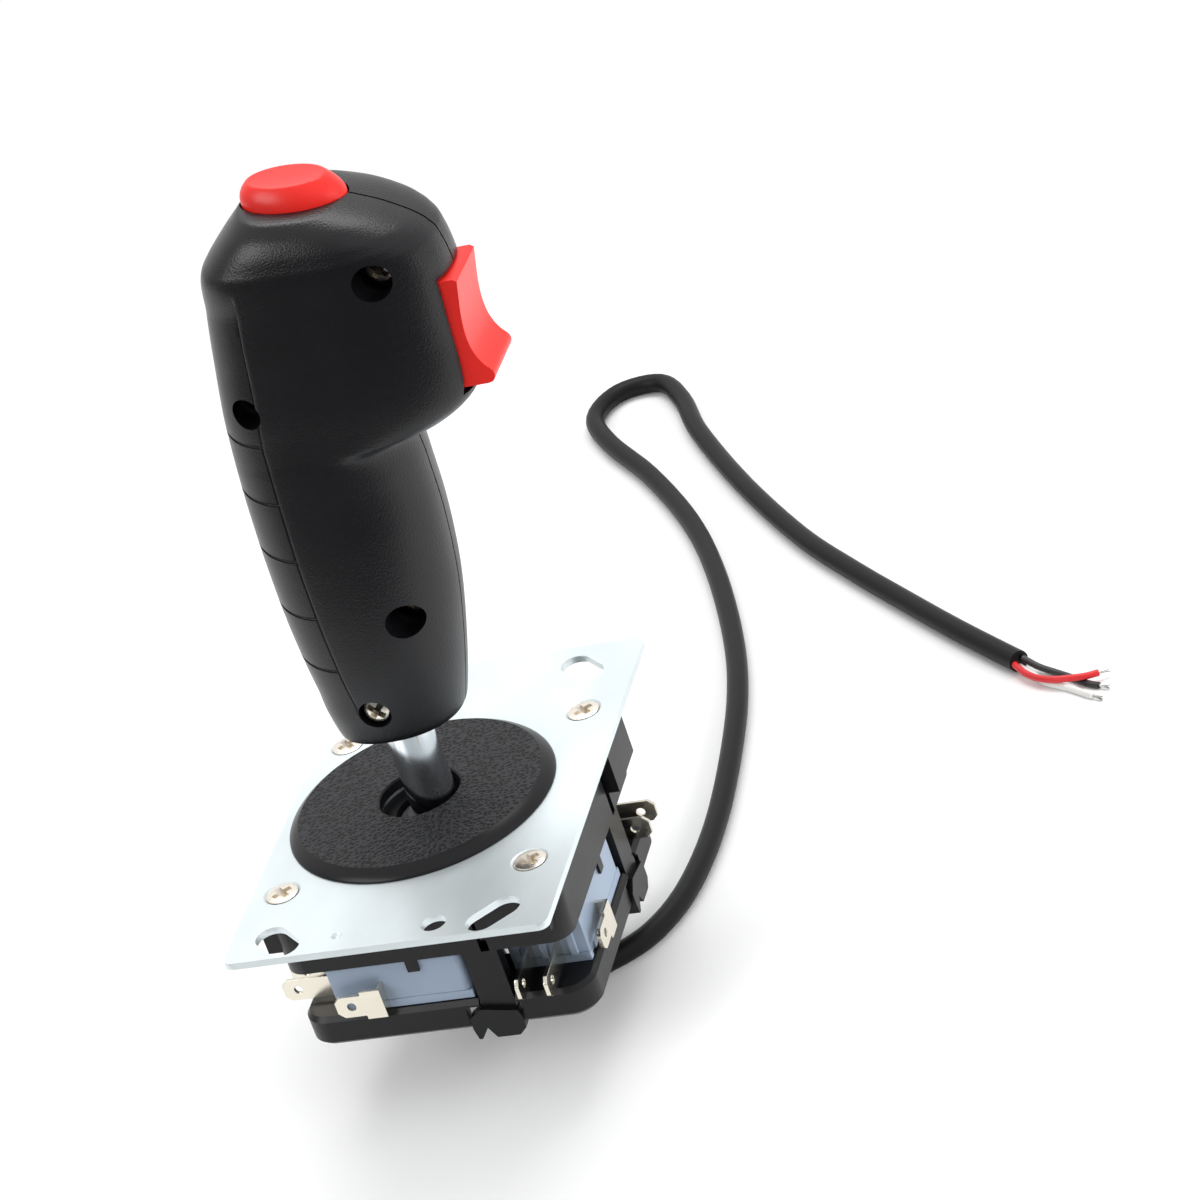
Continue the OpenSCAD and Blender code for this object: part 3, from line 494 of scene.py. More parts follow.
def make_materials():
    """One material for each finish of the object, keyed by the record's slot."""
    grip, base, _ = settings()
    return {
        # Black ABS moulded in a spark-eroded tool: a dull sparkle, drawn coarser than the real grain so that
        # it shows
        "grip_plastic": moulded("ABS moulded spark-grained black", tuple(grip.colour), 0.32, 0.36, 0.06,
                                shine=0.4, detail=1.0),
        # Red ABS moulded in a satin tool: soft broad highlights
        "red_plastic": moulded("ABS moulded satin red", tuple(grip.red), 0.34, 0.7, 0.008, spread=0.08,
                               shine=0.38),
        # Black polypropylene moulded in a leather-grained tool: a dark pitted top with painted shade in the
        # pits, inside a smooth dark rim
        "disc_plastic": leather_disc("polypropylene moulded leather grain with painted pit shade", tuple(base.disc)),
        # Black PBT moulded smooth: clear edge highlights with a slight orange peel
        "housing_plastic": moulded("PBT moulded semi-gloss black", tuple(base.housing), 0.36, 2.2, 0.012,
                                   shine=0.3),
        # Grey-blue PBT moulded smooth: an even colour with a soft sheen
        "switch_plastic": moulded("PBT moulded grey-blue", tuple(base.switch), 0.42, 1.2, 0.012),
        # Sheet steel, zinc plated and passivated: a pale haze over soft reflections, with faint blotches
        "zinc_plate": metal("steel sheet zinc plated", linear("#e9f2f4"), 0.44, 20, 0.05, stretch=(1, 0.5, 1),
                            spread=0.3, mottle=0.74, bare=0.62),
        # Steel, turned and nickel plated: a warm shine with small uneven marks
        "screw_steel": metal("steel turned nickel plated", linear("#f3ebdf"), 0.28, 1.5, 0.006),
        # Brass strip, stamped and tinned: creamy and bright, with fine marks across
        "terminal_metal": metal("brass stamped tin plated", linear("#e4decf"), 0.22, 1.6, 0.006,
                                stretch=(1, 1, 5)),
        # Round steel, ground and plated: bright lines along its length
        "plated_steel": metal("steel tube chrome plated", linear("#dde0e4"), 0.14, 2.5, 0.002,
                              stretch=(1, 1, 0.1), spread=0.06),
        # Steel wire, drawn: grey with a blurred shine
        "spring_steel": metal("steel wire drawn", linear("#b4b6ba"), 0.3, 1, 0.004),
        # Red acetal moulded smooth: waxy and a little glossy
        "plunger_plastic": moulded("acetal moulded red", linear("#a8322c"), 0.3, 1, 0.006),
        # Nylon moulded smooth: a dull, slightly waxy surface, dark grey or black
        "bush_nylon": moulded("nylon moulded dark grey", linear("#36363a"), 0.42, 1, 0.006),
        "actuator_nylon": moulded("nylon moulded black", linear("#262628"), 0.42, 1, 0.006),
        # Dark grey PBT moulded smooth: plain and satin
        "mini_switch": moulded("PBT moulded dark grey", linear("#3b3d45"), 0.45, 1, 0.006),
        # PVC extruded over its cores: a satin skin with a slight waviness
        "cable_pvc": moulded("PVC extruded satin black", linear("#0c0c0d"), 0.47, 1.6, 0.02, shine=0.22),
        # PVC extruded over each core: smoother than the jacket, with a narrow highlight along its length
        "core_red": moulded("PVC extruded red", linear("#d8232a"), 0.36, 0.8, 0.006),
        "core_black": moulded("PVC extruded black", linear("#1d1d1f"), 0.36, 0.8, 0.006),
        "core_white": moulded("PVC extruded white", linear("#eeeeea"), 0.36, 0.8, 0.006),
        # Copper strand, tinned: pale grey with small glints
        "tinned_copper": metal("copper strand tinned", linear("#c9c8c4"), 0.3, 0.5, 0.004),
    }


MATERIALS = {}


def through(a, b, c, d, t):
    """Curve through four points, at t between the middle two."""
    bend = 2 * a - 5 * b + 4 * c - d
    twist = 3 * b - a - 3 * c + d
    return (2 * b + (c - a) * t + bend * t * t + twist * t ** 3) * 0.5


def smooth(points, steps):
    """Points on a smooth curve through the given ones."""
    vectors = [Vector(p) for p in points]
    last = len(vectors) - 1
    result = []
    for i in range(last):
        near = [vectors[max(i - 1, 0)], vectors[i], vectors[i + 1], vectors[min(i + 2, last)]]
        result += [through(*near, s / steps) for s in range(steps)]
    return result + [vectors[last]]


def smooth_rows(rows, steps):
    """Like smooth, for rows of any length."""
    last = len(rows) - 1
    result = []
    for i in range(last):
        near = [rows[max(i - 1, 0)], rows[i], rows[i + 1], rows[min(i + 2, last)]]
        result += [[through(*column, s / steps) for column in zip(*near)] for s in range(steps)]
    return result + [list(rows[last])]


def between(value, table):
    """Straight-line value from a table of (place, value)."""
    for (a, va), (b, vb) in zip(table, table[1:]):
        if value <= b:
            return va + (vb - va) * (max(value, a) - a) / (b - a)
    return table[-1][1]


def ease(value, start, end):
    """Smooth step from 0 at start to 1 at end, in either direction."""
    t = min(1, max(0, (value - start) / (end - start)))
    return t * t * (3 - 2 * t)


def signed_power(value, exponent):
    """A power that keeps the value's sign."""
    return math.copysign(abs(value) ** exponent, value)


def link_object(name, data):
    """A new object in the scene."""
    obj = bpy.data.objects.new(name, data)
    bpy.context.scene.collection.objects.link(obj)
    return obj


def mesh_object(name, vertices, faces):
    """A mesh object from millimetre vertices."""
    mesh = bpy.data.meshes.new(name)
    mesh.from_pydata([Vector(v) * MM for v in vertices], [], faces)
    mesh.update()
    return link_object(name, mesh)


def rings_object(name, rings, closed=False):
    """A solid through a stack of equal closed rings, or a torus-like one when closed."""
    count = len(rings[0])
    vertices = [v for ring in rings for v in ring]
    faces = []
    for i in range(len(rings) if closed else len(rings) - 1):
        a = i * count
        b = ((i + 1) % len(rings)) * count
        for k in range(count):
            m = (k + 1) % count
            faces.append((a + k, a + m, b + m, b + k))
    if not closed:
        faces.append(tuple(reversed(range(count))))
        faces.append(tuple(range((len(rings) - 1) * count, len(rings) * count)))
    return mesh_object(name, vertices, faces)


def outward(obj):
    """Makes every face look outwards, so that solids can be cut."""
    shape = bmesh.new()
    shape.from_mesh(obj.data)
    bmesh.ops.recalc_face_normals(shape, faces=shape.faces)
    shape.to_mesh(obj.data)
    shape.free()
    return obj


def turned(name, profile, centre, axis="Z", segments=96):
    """A solid of revolution from a closed (radius, height) profile that stays clear of its axis."""
    rings = []
    for s in range(segments):
        a = math.tau * s / segments
        ring = [Vector((r * math.cos(a), r * math.sin(a), h)) for r, h in profile]
        if axis == "Y":
            ring = [Vector((v.x, v.z, -v.y)) for v in ring]
        rings.append([v + Vector(centre) for v in ring])
    return outward(rings_object(name, rings, closed=True))


def cylinder(name, radius, low, high, centre=(0, 0, 0), axis="Z", squeeze=1, segments=64):
    """A cylinder along an axis; squeeze narrows it across the second direction."""
    rings = []
    for h in (low, high):
        ring = []
        for s in range(segments):
            a = math.tau * s / segments
            x = radius * math.cos(a)
            y = radius * math.sin(a) * squeeze
            ring.append(Vector(centre) + (Vector((x, y, h)) if axis == "Z" else Vector((x, h, -y))))
        rings.append(ring)
    return outward(rings_object(name, rings))


def block(name, low, high):
    """A plain block between two corners, to cut or join with."""
    x0, y0, z0 = low
    x1, y1, z1 = high
    rings = [[(x0, y0, z), (x1, y0, z), (x1, y1, z), (x0, y1, z)] for z in (z0, z1)]
    return outward(rings_object(name, rings))


def tube(name, path, radius, sides):
    """A round solid along a path."""
    rings = []
    side = None
    turns = [math.tau * k / sides for k in range(sides)]
    for i, point in enumerate(path):
        way = (path[min(i + 1, len(path) - 1)] - path[max(i - 1, 0)]).normalized()
        side = way.orthogonal() if side is None else side - way * side.dot(way)
        side.normalize()
        other = way.cross(side)
        rings.append([point + (side * math.cos(a) + other * math.sin(a)) * radius for a in turns])
    return outward(rings_object(name, rings))


def coil(name, centre, radii, heights, turns, wire):
    """A wound spring whose radius changes evenly from its foot to its head."""
    path = []
    steps = round(COIL_STEPS * turns)
    for i in range(steps + 1):
        t = i / steps
        radius = radii[0] + (radii[1] - radii[0]) * t
        angle = math.tau * turns * t
        height = heights[0] + (heights[1] - heights[0]) * t
        path.append(Vector((centre + radius * math.cos(angle), radius * math.sin(angle), height)))
    spring = tube(name, path, wire / 2, COIL_SIDES)
    smooth_shade(spring, 50)
    return spring


def apply_modifiers(obj):
    """Bakes an object's modifiers into its mesh."""
    graph = bpy.context.evaluated_depsgraph_get()
    baked = bpy.data.meshes.new_from_object(obj.evaluated_get(graph))
    old = obj.data
    obj.modifiers.clear()
    obj.data = baked
    bpy.data.meshes.remove(old)


def combine(obj, others, operation):
    """Cuts, joins or trims an object by others, and removes them."""
    for other in others:
        modifier = obj.modifiers.new(operation.lower(), "BOOLEAN")
        modifier.operation = operation
        modifier.object = other
        modifier.solver = "MANIFOLD"
    apply_modifiers(obj)
    for other in others:
        bpy.data.objects.remove(other)


def soften(obj, width, angle, segments):
    """Rounds an object's edges that are sharper than an angle."""
    bevel = obj.modifiers.new("edge", "BEVEL")
    bevel.width = width * MM
    bevel.segments = segments
    bevel.limit_method = "ANGLE"
    bevel.angle_limit = math.radians(angle)
    bevel.use_clamp_overlap = True
    bevel.harden_normals = True


def smooth_shade(obj, angle):
    """Shades an object smoothly, but for edges that are sharper than an angle."""
    obj.data.shade_smooth()
    obj.data.set_sharp_from_angle(angle=math.radians(angle))


def finish_piece(obj, body, slot, node):
    """Gives a new piece its finish and its body, and hides the CAD node that it stands for.

    A piece given no body is attached to none.
    """
    obj.data.materials.clear()
    obj.data.materials.append(MATERIALS[slot])
    if body:
        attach(obj, body)
    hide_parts(node)


def dress(node, slot, width=0.0):
    """Keeps a CAD node and gives it a finish and softened edges."""
    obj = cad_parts[node]
    if not obj.material_slots:
        raise RuntimeError(f"{node} has no material slot")
    for place in obj.material_slots:
        place.material = MATERIALS[slot]
    if width:
        weld = obj.modifiers.new("weld", "WELD")
        weld.merge_threshold = WELD_DISTANCE * MM
        soften(obj, width, EDGE_ANGLE, 2)


GRIP_ROWS = smooth_rows(GRIP, SKIN_STEPS)


def grip_section(z):
    """The grip's station at any height."""
    for a, b in zip(GRIP_ROWS, GRIP_ROWS[1:]):
        if z <= b[0]:
            t = (z - a[0]) / (b[0] - a[0])
            return [p + (q - p) * t for p, q in zip(a, b)]
    return GRIP_ROWS[-1]


def strip_depth(z, step):
    """Depth of the back strip: it fades out under the shoulder and at the clamp screw."""
    return step * (1 + STRIP_EXTRA * ease(z, *STRIP_DEEPER)) * ease(z, *STRIP_HEAD) * ease(z, *STRIP_FOOT)


def grip_point(row, angle, drop):
    """A point on the grip's outline, drop millimetres below its surface."""
    z, back, front, half, q_back, q_front = row
    middle = between(z, GRIP_MIDDLE)
    q, reach = (q_front, front - middle) if math.cos(angle) > 0 else (q_back, middle - back)
    x = middle + (reach - drop) * signed_power(math.cos(angle), 2 / q)
    return x, (half - drop) * signed_power(math.sin(angle), 2 / q)


def strip_angle(row):
    """Where the strip's edge crosses an outline."""
    z, back, _, _, q_back, _ = row
    middle = between(z, GRIP_MIDDLE)
    behind = (middle - between(z, STRIP_EDGE)) / (middle - back)
    return math.pi - math.acos(min(0.98, max(0.02, behind)) ** (q_back / 2))


def outline_places(z, edge, step):
    """Angles and drops of half an outline, from front to back, with the step at the strip's edge."""
    quarter = math.pi / 2
    depth = strip_depth(z, step)
    foot = depth + EDGE_GROOVE * ease(z, *EDGE_HEAD) * ease(z, *STRIP_FOOT) * (step > 0)
    cheek_end = edge - 3 * EDGE_LIP
    strip_start = edge + 5 * EDGE_LIP
    strip_run = math.pi - edge - 5 * EDGE_LIP
    places = [(quarter * i / FRONT_POINTS, 0) for i in range(FRONT_POINTS)]
    places += [(quarter + (cheek_end - quarter) * i / CHEEK_POINTS, 0) for i in range(CHEEK_POINTS + 1)]
    places += [(edge - 1.2 * EDGE_LIP, depth * 0.2), (edge, foot), (edge + EDGE_LIP, foot)]
    places += [(edge + 2.4 * EDGE_LIP, depth)]
    places += [(strip_start + strip_run * i / BACK_POINTS, depth) for i in range(BACK_POINTS + 1)]
    return places


def grip_ring(row, inset, step):
    """One closed outline of the grip, with a step and a fine groove at the edge of the back strip."""
    z = row[0]
    middle = (GRIP_LOW + GRIP_HIGH) / 2
    level = middle + (z - middle) * (1 - 2 * inset / (GRIP_HIGH - GRIP_LOW))
    level += SHELF_RISE * inset * max(0, 1 - abs(z - SHELF_HEIGHT) / SHELF_REACH)
    fall = CROWN_SLOPE * ease(z, *CROWN)
    places = outline_places(z, strip_angle(row), step)
    outline = [grip_point(row, angle, inset + drop) for angle, drop in places]
    half_ring = [(x, y, level - fall * (x - BUTTON_X)) for x, y in outline]
    return half_ring + [(x, -y, h) for x, y, h in reversed(half_ring[1:-1])]


def grip_loft(name, inset, steps, step=0.0):
    """The grip as one solid, or its hollow when set in by the wall."""
    return outward(rings_object(name, [grip_ring(row, inset, step) for row in smooth_rows(GRIP, steps)]))


def groove_tube(name, z, width, depth):
    """A thin tube round the back of the grip, half sunk in the strip, to cut one cross groove."""
    path = []
    for i in range(-GROOVE_POINTS, GROOVE_POINTS + 1):
        run = abs(i) / GROOVE_POINTS
        row = grip_section(z + GROOVE_RISE * (1 - run) ** GROOVE_BEND)
        angle = math.pi - (math.pi - strip_angle(row) + GROOVE_PAST_EDGE) * run
        x, y = grip_point(row, angle, depth + GROOVE_SINK)
        path.append(Vector((x, math.copysign(y, i), row[0])))
    return tube(name, path, width / 2, GROOVE_SIDES)


class JOYSTICK_OT_grip(bpy.types.Operator):
    """Lofts the grip, hollows it, cuts its openings, grooves and wells, and parts it into halves"""
    bl_idname = "joystick.grip"
    bl_label = "Grip Halves"

    def openings(self):
        """Cutters for the shaft, the trigger and the thumb button."""
        return [
            cylinder("shaft_hole", SHAFT_HOLE_RADIUS, 0, SHAFT_HOLE_TOP),
            block("trigger_slot", (TRIGGER_SLOT_BACK, -TRIGGER_SLOT_HALF, TRIGGER_SLOT[0]),
                  (TRIGGER_SLOT_FRONT, TRIGGER_SLOT_HALF, TRIGGER_SLOT[1])),
            cylinder("button_hole", BUTTON_HOLE, *BUTTON_HOLE_HEIGHTS, (BUTTON_X, 0, 0),
                     squeeze=BUTTON_SQUEEZE),
        ]

    def half(self, node, near, far, has_wells):
        """One half of the grip, between two distances from its middle plane."""
        grip, _, _ = settings()
        step = grip.step / MM
        shell = grip_loft(node + "_shell", 0, SKIN_STEPS, step)
        hollow = grip_loft("hollow", grip.wall / MM, HOLLOW_STEPS)
        bosses = [cylinder("boss", BOSS_RADIUS, -BOSS_REACH, BOSS_REACH, (x, 0, z), "Y")
                  for x, z, _, _, _ in GRIP_SCREWS]
        combine(hollow, bosses, "DIFFERENCE")
        combine(shell, [block("half", (PAST_BACK, near, 0), (PAST_FRONT, far, PAST_TOP))], "INTERSECT")
        cutters = [hollow] + self.openings()
        if has_wells:
            cutters += [cylinder("well", well / 2, WELL_START, seat, (x, 0, z), "Y")
                        for x, z, seat, well, _ in GRIP_SCREWS]
        cutters += [groove_tube("groove", z, grip.groove / MM, step) for z in STRIP_GROOVES]
        combine(shell, cutters, "DIFFERENCE")
        smooth_shade(shell, 32)
        finish_piece(shell, "stick", "grip_plastic", node)

    def execute(self, context):
        gap = context.scene.joystick_grip.parting / MM
        self.half("grip_right", -PAST_SIDE, -gap, True)
        self.half("grip_left", gap, PAST_SIDE, False)
        return {"FINISHED"}


class JOYSTICK_OT_controls(bpy.types.Operator):
    """Builds the trigger and the thumb button"""
    bl_idname = "joystick.controls"
    bl_label = "Trigger and Button"

    def trigger(self):
        """A hooked blade on its pin, hollow behind for the spring."""
        outline = TRIGGER_TOP + [(v.x, v.y) for v in smooth(TRIGGER_FRONT, 5)] + TRIGGER_BACK
        rings = [[(x, y, z) for x, z in outline] for y in (-TRIGGER_HALF, TRIGGER_HALF)]
        blade = outward(rings_object("trigger_blade", rings))
        pin = cylinder("pin_hole", TRIGGER_PIN_HOLE, -TRIGGER_PIN_REACH, TRIGGER_PIN_REACH,
                       (TRIGGER_PIN[0], 0, TRIGGER_PIN[1]), "Y")
        combine(blade, [block("spring_room", *TRIGGER_ROOM), pin], "DIFFERENCE")
        combine(blade, [block("pad", *TRIGGER_PAD), block("roof", *TRIGGER_ROOF)], "UNION")
        soften(blade, TRIGGER_EDGE, 55, 4)
        smooth_shade(blade, 50)
        finish_piece(blade, "trigger", "red_plastic", "trigger")

    def button(self):
        """An oval cap with a flange below the grip's skin and a slightly dished top."""
        segments = 96
        turns = [math.tau * k / segments for k in range(segments)]
        rings = []
        for z, a, b in BUTTON_ROWS:
            middle = BUTTON_X + BUTTON_LEAN * ease(z, *BUTTON_LEANING)
            fall = CROWN_SLOPE * ease(z, *BUTTON_SLOPE)
            rings.append([(middle + a * math.cos(s), b * math.sin(s), z - fall * a * math.cos(s))
                          for s in turns])
        cap = outward(rings_object("thumb_button_cap", rings))
        smooth_shade(cap, 40)
        finish_piece(cap, "thumb_button", "red_plastic", "thumb_button")

    def execute(self, context):
        self.trigger()
        self.button()
        return {"FINISHED"}


def cross_recess(centre, size, depth, axis):
    """Cutters for a four-winged screwdriver recess, sunk from its centre along -Z or towards +Y."""
    half = size / 2
    wide = size / 6.5
    above = 0.5
    narrowing = (0.55, 0.7)
    wings = []
    for turn in (45, 135):
        low = [(-half, -wide, above), (half, -wide, above), (half, wide, above), (-half, wide, above)]
        deep = [(x * narrowing[0], y * narrowing[1], -depth) for x, y, _ in low]
        spin = Matrix.Rotation(math.radians(turn), 3, "Z")
        tip = Matrix.Rotation(math.radians(90), 3, "X") if axis == "Y" else Matrix.Identity(3)
        rings = [[tip @ (spin @ Vector(v)) + Vector(centre) for v in ring] for ring in (deep, low)]
        wings.append(outward(rings_object("recess", rings)))
    return wings


class JOYSTICK_OT_screws(bpy.types.Operator):
    """Builds the plate's countersunk screws and the grip's pan-head screws"""
    bl_idname = "joystick.screws"
    bl_label = "Screws"

    def plate_screw(self, x, y):
        """One countersunk screw, its head level with the plate."""
        screw = turned("plate_screw", PLATE_SCREW, (x, y, 0), segments=64)
        combine(screw, cross_recess((x, y, 0), *PLATE_RECESS, "Z"), "DIFFERENCE")
        return screw

    def grip_screw(self, x, z, seat, shank):
        """One pan-head screw that enters the grip from its right side."""
        profile = [(r, h - shank) for r, h in GRIP_SCREW_TIP] + GRIP_SCREW_HEAD
        screw = turned("grip_screw", [(r, -h) for r, h in profile], (x, seat, z), "Y", 48)
        combine(screw, cross_recess((x, seat - GRIP_RECESS_TOP, z), *GRIP_RECESS, "Y"), "DIFFERENCE")
        return screw

    def join(self, name, screws, body, node):
        """Makes one piece of like screws."""
        joined = screws[0]
        joined.name = name
        combine(joined, screws[1:], "UNION")
        smooth_shade(joined, 30)
        finish_piece(joined, body, "screw_steel", node)

    def execute(self, context):
        half = SCREW_PITCH / 2
        corners = ((-half, -half), (half, -half), (half, half), (-half, half))
        self.join("plate_screw_set", [self.plate_screw(x, y) for x, y in corners], "base", "plate_screws")
        screws = [self.grip_screw(x, z, seat, shank) for x, z, seat, _, shank in GRIP_SCREWS]
        self.join("grip_screw_set", screws, "stick", "grip_screws")
        return {"FINISHED"}


class JOYSTICK_OT_stem(bpy.types.Operator):
    """Turns the shaft and the dust disc, winds two springs, and finishes the pieces inside"""
    bl_idname = "joystick.stem"
    bl_label = "Shaft and Disc"

    def springs(self):
        """The centring spring, with room to tilt, and the button's spring, which stays unattached."""
        centring = coil("centring_spring_coil", 0, *CENTRING_SPRING)
        finish_piece(centring, "stick", "spring_steel", "centring_spring")
        button = coil("button_spring_coil", BUTTON_X, *BUTTON_SPRING)
        finish_piece(button, None, "spring_steel", "button_spring")
        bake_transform(button)

    def execute(self, context):
        self.springs()
        shaft = turned("shaft_tube", SHAFT, (0, 0, 0))
        smooth_shade(shaft, 30)
        finish_piece(shaft, "stick", "plated_steel", "shaft")
        disc = turned("dust_disc_top", DISC, (*DISC_REST, 0), segments=160)
        smooth_shade(disc, 25)
        finish_piece(disc, "dust_disc", "disc_plastic", "dust_disc")
        for node, slot in INNER_FINISHES.items():
            dress(node, slot)
        return {"FINISHED"}


class JOYSTICK_OT_base(bpy.types.Operator):
    """Finishes the plate, the housing, the frame and the four switches"""
    bl_idname = "joystick.base"
    bl_label = "Plate and Base"

    def execute(self, context):
        edge = context.scene.joystick_base.edge / MM
        dress("mounting_plate", "zinc_plate", PLATE_EDGE)
        dress("upper_housing", "housing_plastic", edge)
        dress("bottom_frame", "housing_plastic", edge)
        for side in SIDES:
            dress("switch_case_" + side, "switch_plastic", edge)
            dress("switch_cover_" + side, "switch_plastic", COVER_EDGE)
            dress("switch_terminals_" + side, "terminal_metal", SMALL_EDGE)
            dress("switch_plunger_" + side, "plunger_plastic", SMALL_EDGE)
        return {"FINISHED"}


def spline_object(name, points, radius):
    """A round curve of one open spline through millimetre points."""
    curve = bpy.data.curves.new(name, "CURVE")
    curve.dimensions = "3D"
    curve.bevel_depth = radius * MM
    curve.bevel_resolution = 8
    curve.use_fill_caps = True
    spline = curve.splines.new("POLY")
    spline.points.add(len(points) - 1)
    for target, point in zip(spline.points, points):
        target.co = (*(Vector(point) * MM), 1)
    spline.use_smooth = True
    return link_object(name, curve)


class JOYSTICK_OT_cable(bpy.types.Operator):
    """Lays the cable on the bench and fans out its three cores with their bare tips"""
    bl_idname = "joystick.cable"
    bl_label = "Cable"

    def strands(self, path):
        """Bare strands that stick out of a core and splay a little."""
        end = path[-1]
        way = (path[-1] - path[-2]).normalized()
        flat = way.cross(Vector((0, 0, 1))).normalized()
        ring = STRANDS - 1
        made = []
        for k in range(STRANDS):
            turn = math.tau * k / ring
            out = flat * math.cos(turn) + flat.cross(way) * math.sin(turn)
            away = out * (STRAND_RING if k < ring else 0)
            reach = STRAND_REACH + STRAND_UNEVEN * (k % 3)
            route = [end - way * STRAND_INSIDE + away, end + way * STRAND_STRAIGHT + away,
                     end + way * reach + away * STRAND_SPLAY]
            made.append(tube("strand", smooth(route, 4), STRAND_RADIUS, STRAND_SIDES))
        return made

    def execute(self, context):
        _, _, cable = settings()
        points = smooth(CABLE_ROUTE, ROUTE_STEPS)
        jacket = spline_object("cable_jacket", points, cable.diameter / MM / 2)
        finish_piece(jacket, "base", "cable_pvc", "cable")
        strands = []
        for node, route in CORE_ROUTES.items():
            path = smooth(route, ROUTE_STEPS)
            core = spline_object(node + "_wire", path, cable.core / MM / 2)
            finish_piece(core, "base", node, node)
            strands += self.strands(path)
        tips = strands[0]
        tips.name = "core_tip_strands"
        combine(tips, strands[1:], "UNION")
        smooth_shade(tips, 40)
        finish_piece(tips, "base", "tinned_copper", "core_tips")
        return {"FINISHED"}


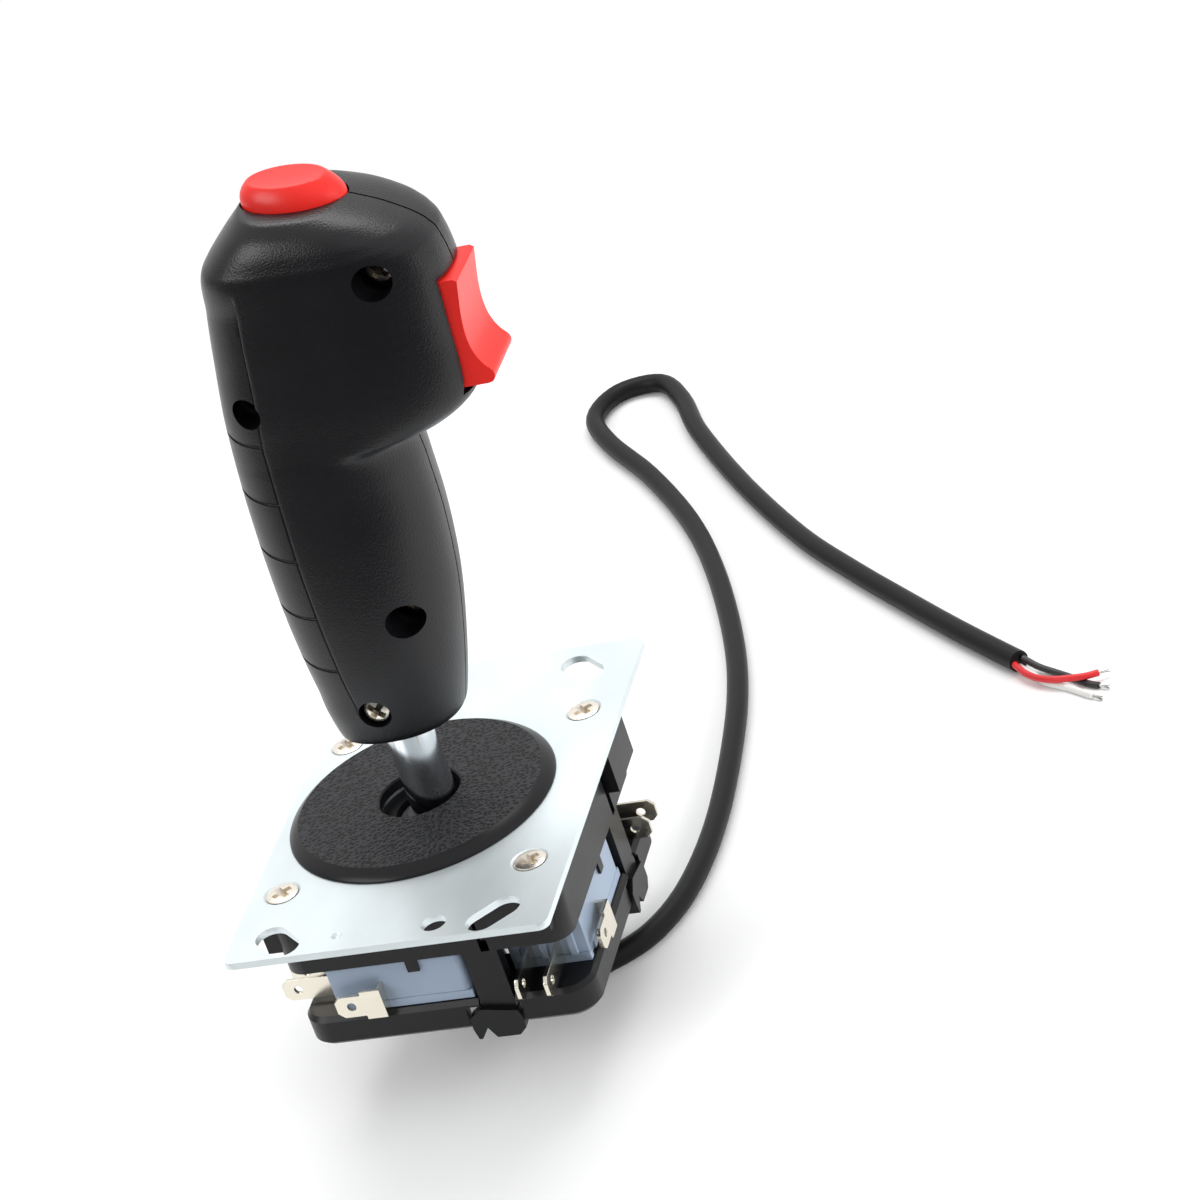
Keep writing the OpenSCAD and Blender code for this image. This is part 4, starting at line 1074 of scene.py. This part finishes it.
class JOYSTICK_OT_stage(bpy.types.Operator):
    """Sets the bench, the soft lights, the white surround and the camera"""
    bl_idname = "joystick.stage"
    bl_label = "Stage"

    def bench(self):
        """A sheet of paper under the object, which fades to plain white far from it."""
        floor = mesh_object("bench", [(x, y, BENCH) for x, y in BENCH_CORNERS], [(0, 1, 2, 3)])
        # Paper: an even white with the faintest cloudiness
        material, tree, shader, coords = new_material("paper matt white", Roughness=0.9)
        cloud = add_node(tree, "ShaderNodeTexNoise", {"Vector": coords}, Scale=per_mm(PAPER_CLOUD),
                         Detail=2.0)
        tone = add_node(tree, "ShaderNodeValToRGB", {"Fac": cloud.outputs["Fac"]})
        tone.color_ramp.elements[0].color = linear("#fafafa")
        tone.color_ramp.elements[1].color = linear("#fdfdfd")
        tree.links.new(tone.outputs["Color"], shader.inputs["Base Color"])
        # Far from the object the sheet is plain white to the camera, so that it has no horizon; this lights
        # nothing
        away = add_node(tree, "ShaderNodeVectorMath", {0: coords}, operation="DISTANCE")
        away.inputs[1].default_value = Vector((*BENCH_MIDDLE, BENCH)) * MM
        far = add_node(tree, "ShaderNodeMapRange", {"Value": away.outputs["Value"]},
                       interpolation_type="SMOOTHSTEP",
                       **{"From Min": BENCH_FADE[0] * MM, "From Max": BENCH_FADE[1] * MM})
        path = add_node(tree, "ShaderNodeLightPath")
        seen = add_node(tree, "ShaderNodeMath", {
            0: far.outputs["Result"], 1: path.outputs["Is Camera Ray"]}, operation="MULTIPLY")
        white = add_node(tree, "ShaderNodeEmission", Color=linear("#ffffff"), Strength=1.0)
        mixed = add_node(tree, "ShaderNodeMixShader", {
            0: seen.outputs["Value"], 1: shader.outputs["BSDF"], 2: white.outputs["Emission"]})
        tree.links.new(mixed.outputs["Shader"], tree.nodes["Material Output"].inputs["Surface"])
        floor.data.materials.append(material)

    def surround(self, stage):
        """White behind the object, dimmer in front, and plain white to the camera itself."""
        world = bpy.data.worlds.new("white surround")
        bpy.context.scene.world = world
        world.use_nodes = True
        tree = world.node_tree
        background = tree.nodes["Background"]
        background.inputs["Color"].default_value = linear("#ffffff")
        coords = add_node(tree, "ShaderNodeTexCoord")
        way = add_node(tree, "ShaderNodeVectorMath", {0: coords.outputs["Generated"]},
                       operation="DOT_PRODUCT")
        way.inputs[1].default_value = Vector(SURROUND_WAY).normalized()
        room = add_node(tree, "ShaderNodeMapRange", {"Value": way.outputs["Value"]},
                        interpolation_type="SMOOTHSTEP",
                        **{"From Min": SURROUND_BLEND[0], "From Max": SURROUND_BLEND[1],
                           "To Min": stage.room, "To Max": stage.back})
        path = add_node(tree, "ShaderNodeLightPath")
        mirror = add_node(tree, "ShaderNodeMath", {
            0: path.outputs["Is Glossy Ray"], 1: path.outputs["Is Transmission Ray"]}, operation="MAXIMUM")
        part = add_node(tree, "ShaderNodeMapRange", {"Value": mirror.outputs["Value"]}, **{
            "To Min": stage.sky, "To Max": 1.0})
        lit = add_node(tree, "ShaderNodeMath", {0: room.outputs["Result"], 1: part.outputs["Result"]},
                       operation="MULTIPLY")
        level = add_node(tree, "ShaderNodeMath", {
            0: path.outputs["Is Camera Ray"], 1: lit.outputs["Value"]}, operation="MAXIMUM")
        tree.links.new(level.outputs["Value"], background.inputs["Strength"])

    def softbox(self, name, power):
        """A rectangular lamp that faces the object."""
        place, aim, size = SOFTBOXES[name]
        light = bpy.data.lights.new(name, "AREA")
        light.shape = "RECTANGLE"
        light.size = size[0] * MM
        light.size_y = size[1] * MM
        light.energy = power
        lamp = link_object(name, light)
        lamp.location = Vector(place) * MM
        lamp.rotation_euler = (Vector(aim) - Vector(place)).to_track_quat("-Z", "Y").to_euler()
        return lamp

    def camera(self):
        """The photograph's view."""
        view = bpy.data.cameras.new("photograph")
        view.sensor_width = CAMERA_SENSOR
        view.lens = CAMERA_LENS
        eye = link_object("photograph_camera", view)
        way = (Vector(CAMERA_AIM) - Vector(CAMERA_PLACE)).normalized()
        right = way.cross(Vector((0, 0, 1))).normalized()
        up = right.cross(way)
        turn = math.radians(CAMERA_ROLL)
        rolled_right = right * math.cos(turn) - up * math.sin(turn)
        rolled_up = up * math.cos(turn) + right * math.sin(turn)
        rotation = Matrix((rolled_right, rolled_up, -way)).transposed()
        eye.matrix_world = Matrix.Translation(Vector(CAMERA_PLACE) * MM) @ rotation.to_4x4()
        bpy.context.scene.camera = eye

    def execute(self, context):
        stage = context.scene.joystick_stage
        context.scene.view_settings.view_transform = "Standard"
        self.bench()
        self.surround(stage)
        self.softbox("overhead_softbox", stage.top)
        self.softbox("left_softbox", stage.left)
        fill = self.softbox("right_softbox", stage.right)
        # The low fill light leaves no mirror image, which would burn the plate out to white from behind
        fill.visible_glossy = False
        self.camera()
        return {"FINISHED"}


class JOYSTICK_PT_panel(bpy.types.Panel):
    """Lists the joystick's pieces and their settings"""
    bl_idname = "JOYSTICK_PT_panel"
    bl_label = "Flight Joystick"
    bl_space_type = "VIEW_3D"
    bl_region_type = "UI"
    bl_category = "Joystick"

    def draw(self, context):
        for operator in OPERATORS:
            self.layout.operator(operator.bl_idname)
        for name, group in GROUPS.items():
            for field in group.__annotations__:
                self.layout.prop(getattr(context.scene, name), field)


GROUPS = {
    "joystick_grip": JoystickGrip,
    "joystick_base": JoystickBase,
    "joystick_cable": JoystickCable,
    "joystick_stage": JoystickStage,
}
OPERATORS = (
    JOYSTICK_OT_stage,
    JOYSTICK_OT_cable,
    JOYSTICK_OT_base,
    JOYSTICK_OT_stem,
    JOYSTICK_OT_grip,
    JOYSTICK_OT_controls,
    JOYSTICK_OT_screws,
)
CLASSES = (*GROUPS.values(), *OPERATORS, JOYSTICK_PT_panel)


def register():
    """Registers the classes and their settings."""
    for cls in CLASSES:
        bpy.utils.register_class(cls)
    for name, group in GROUPS.items():
        setattr(bpy.types.Scene, name, PointerProperty(type=group))


def unregister():
    """Takes the settings and the classes away again."""
    for name in GROUPS:
        delattr(bpy.types.Scene, name)
    for cls in reversed(CLASSES):
        bpy.utils.unregister_class(cls)


def main():
    register()
    MATERIALS.update(make_materials())
    for operator in OPERATORS:
        group, name = operator.bl_idname.split(".")
        getattr(getattr(bpy.ops, group), name)()


if __name__ == "__main__":
    main()
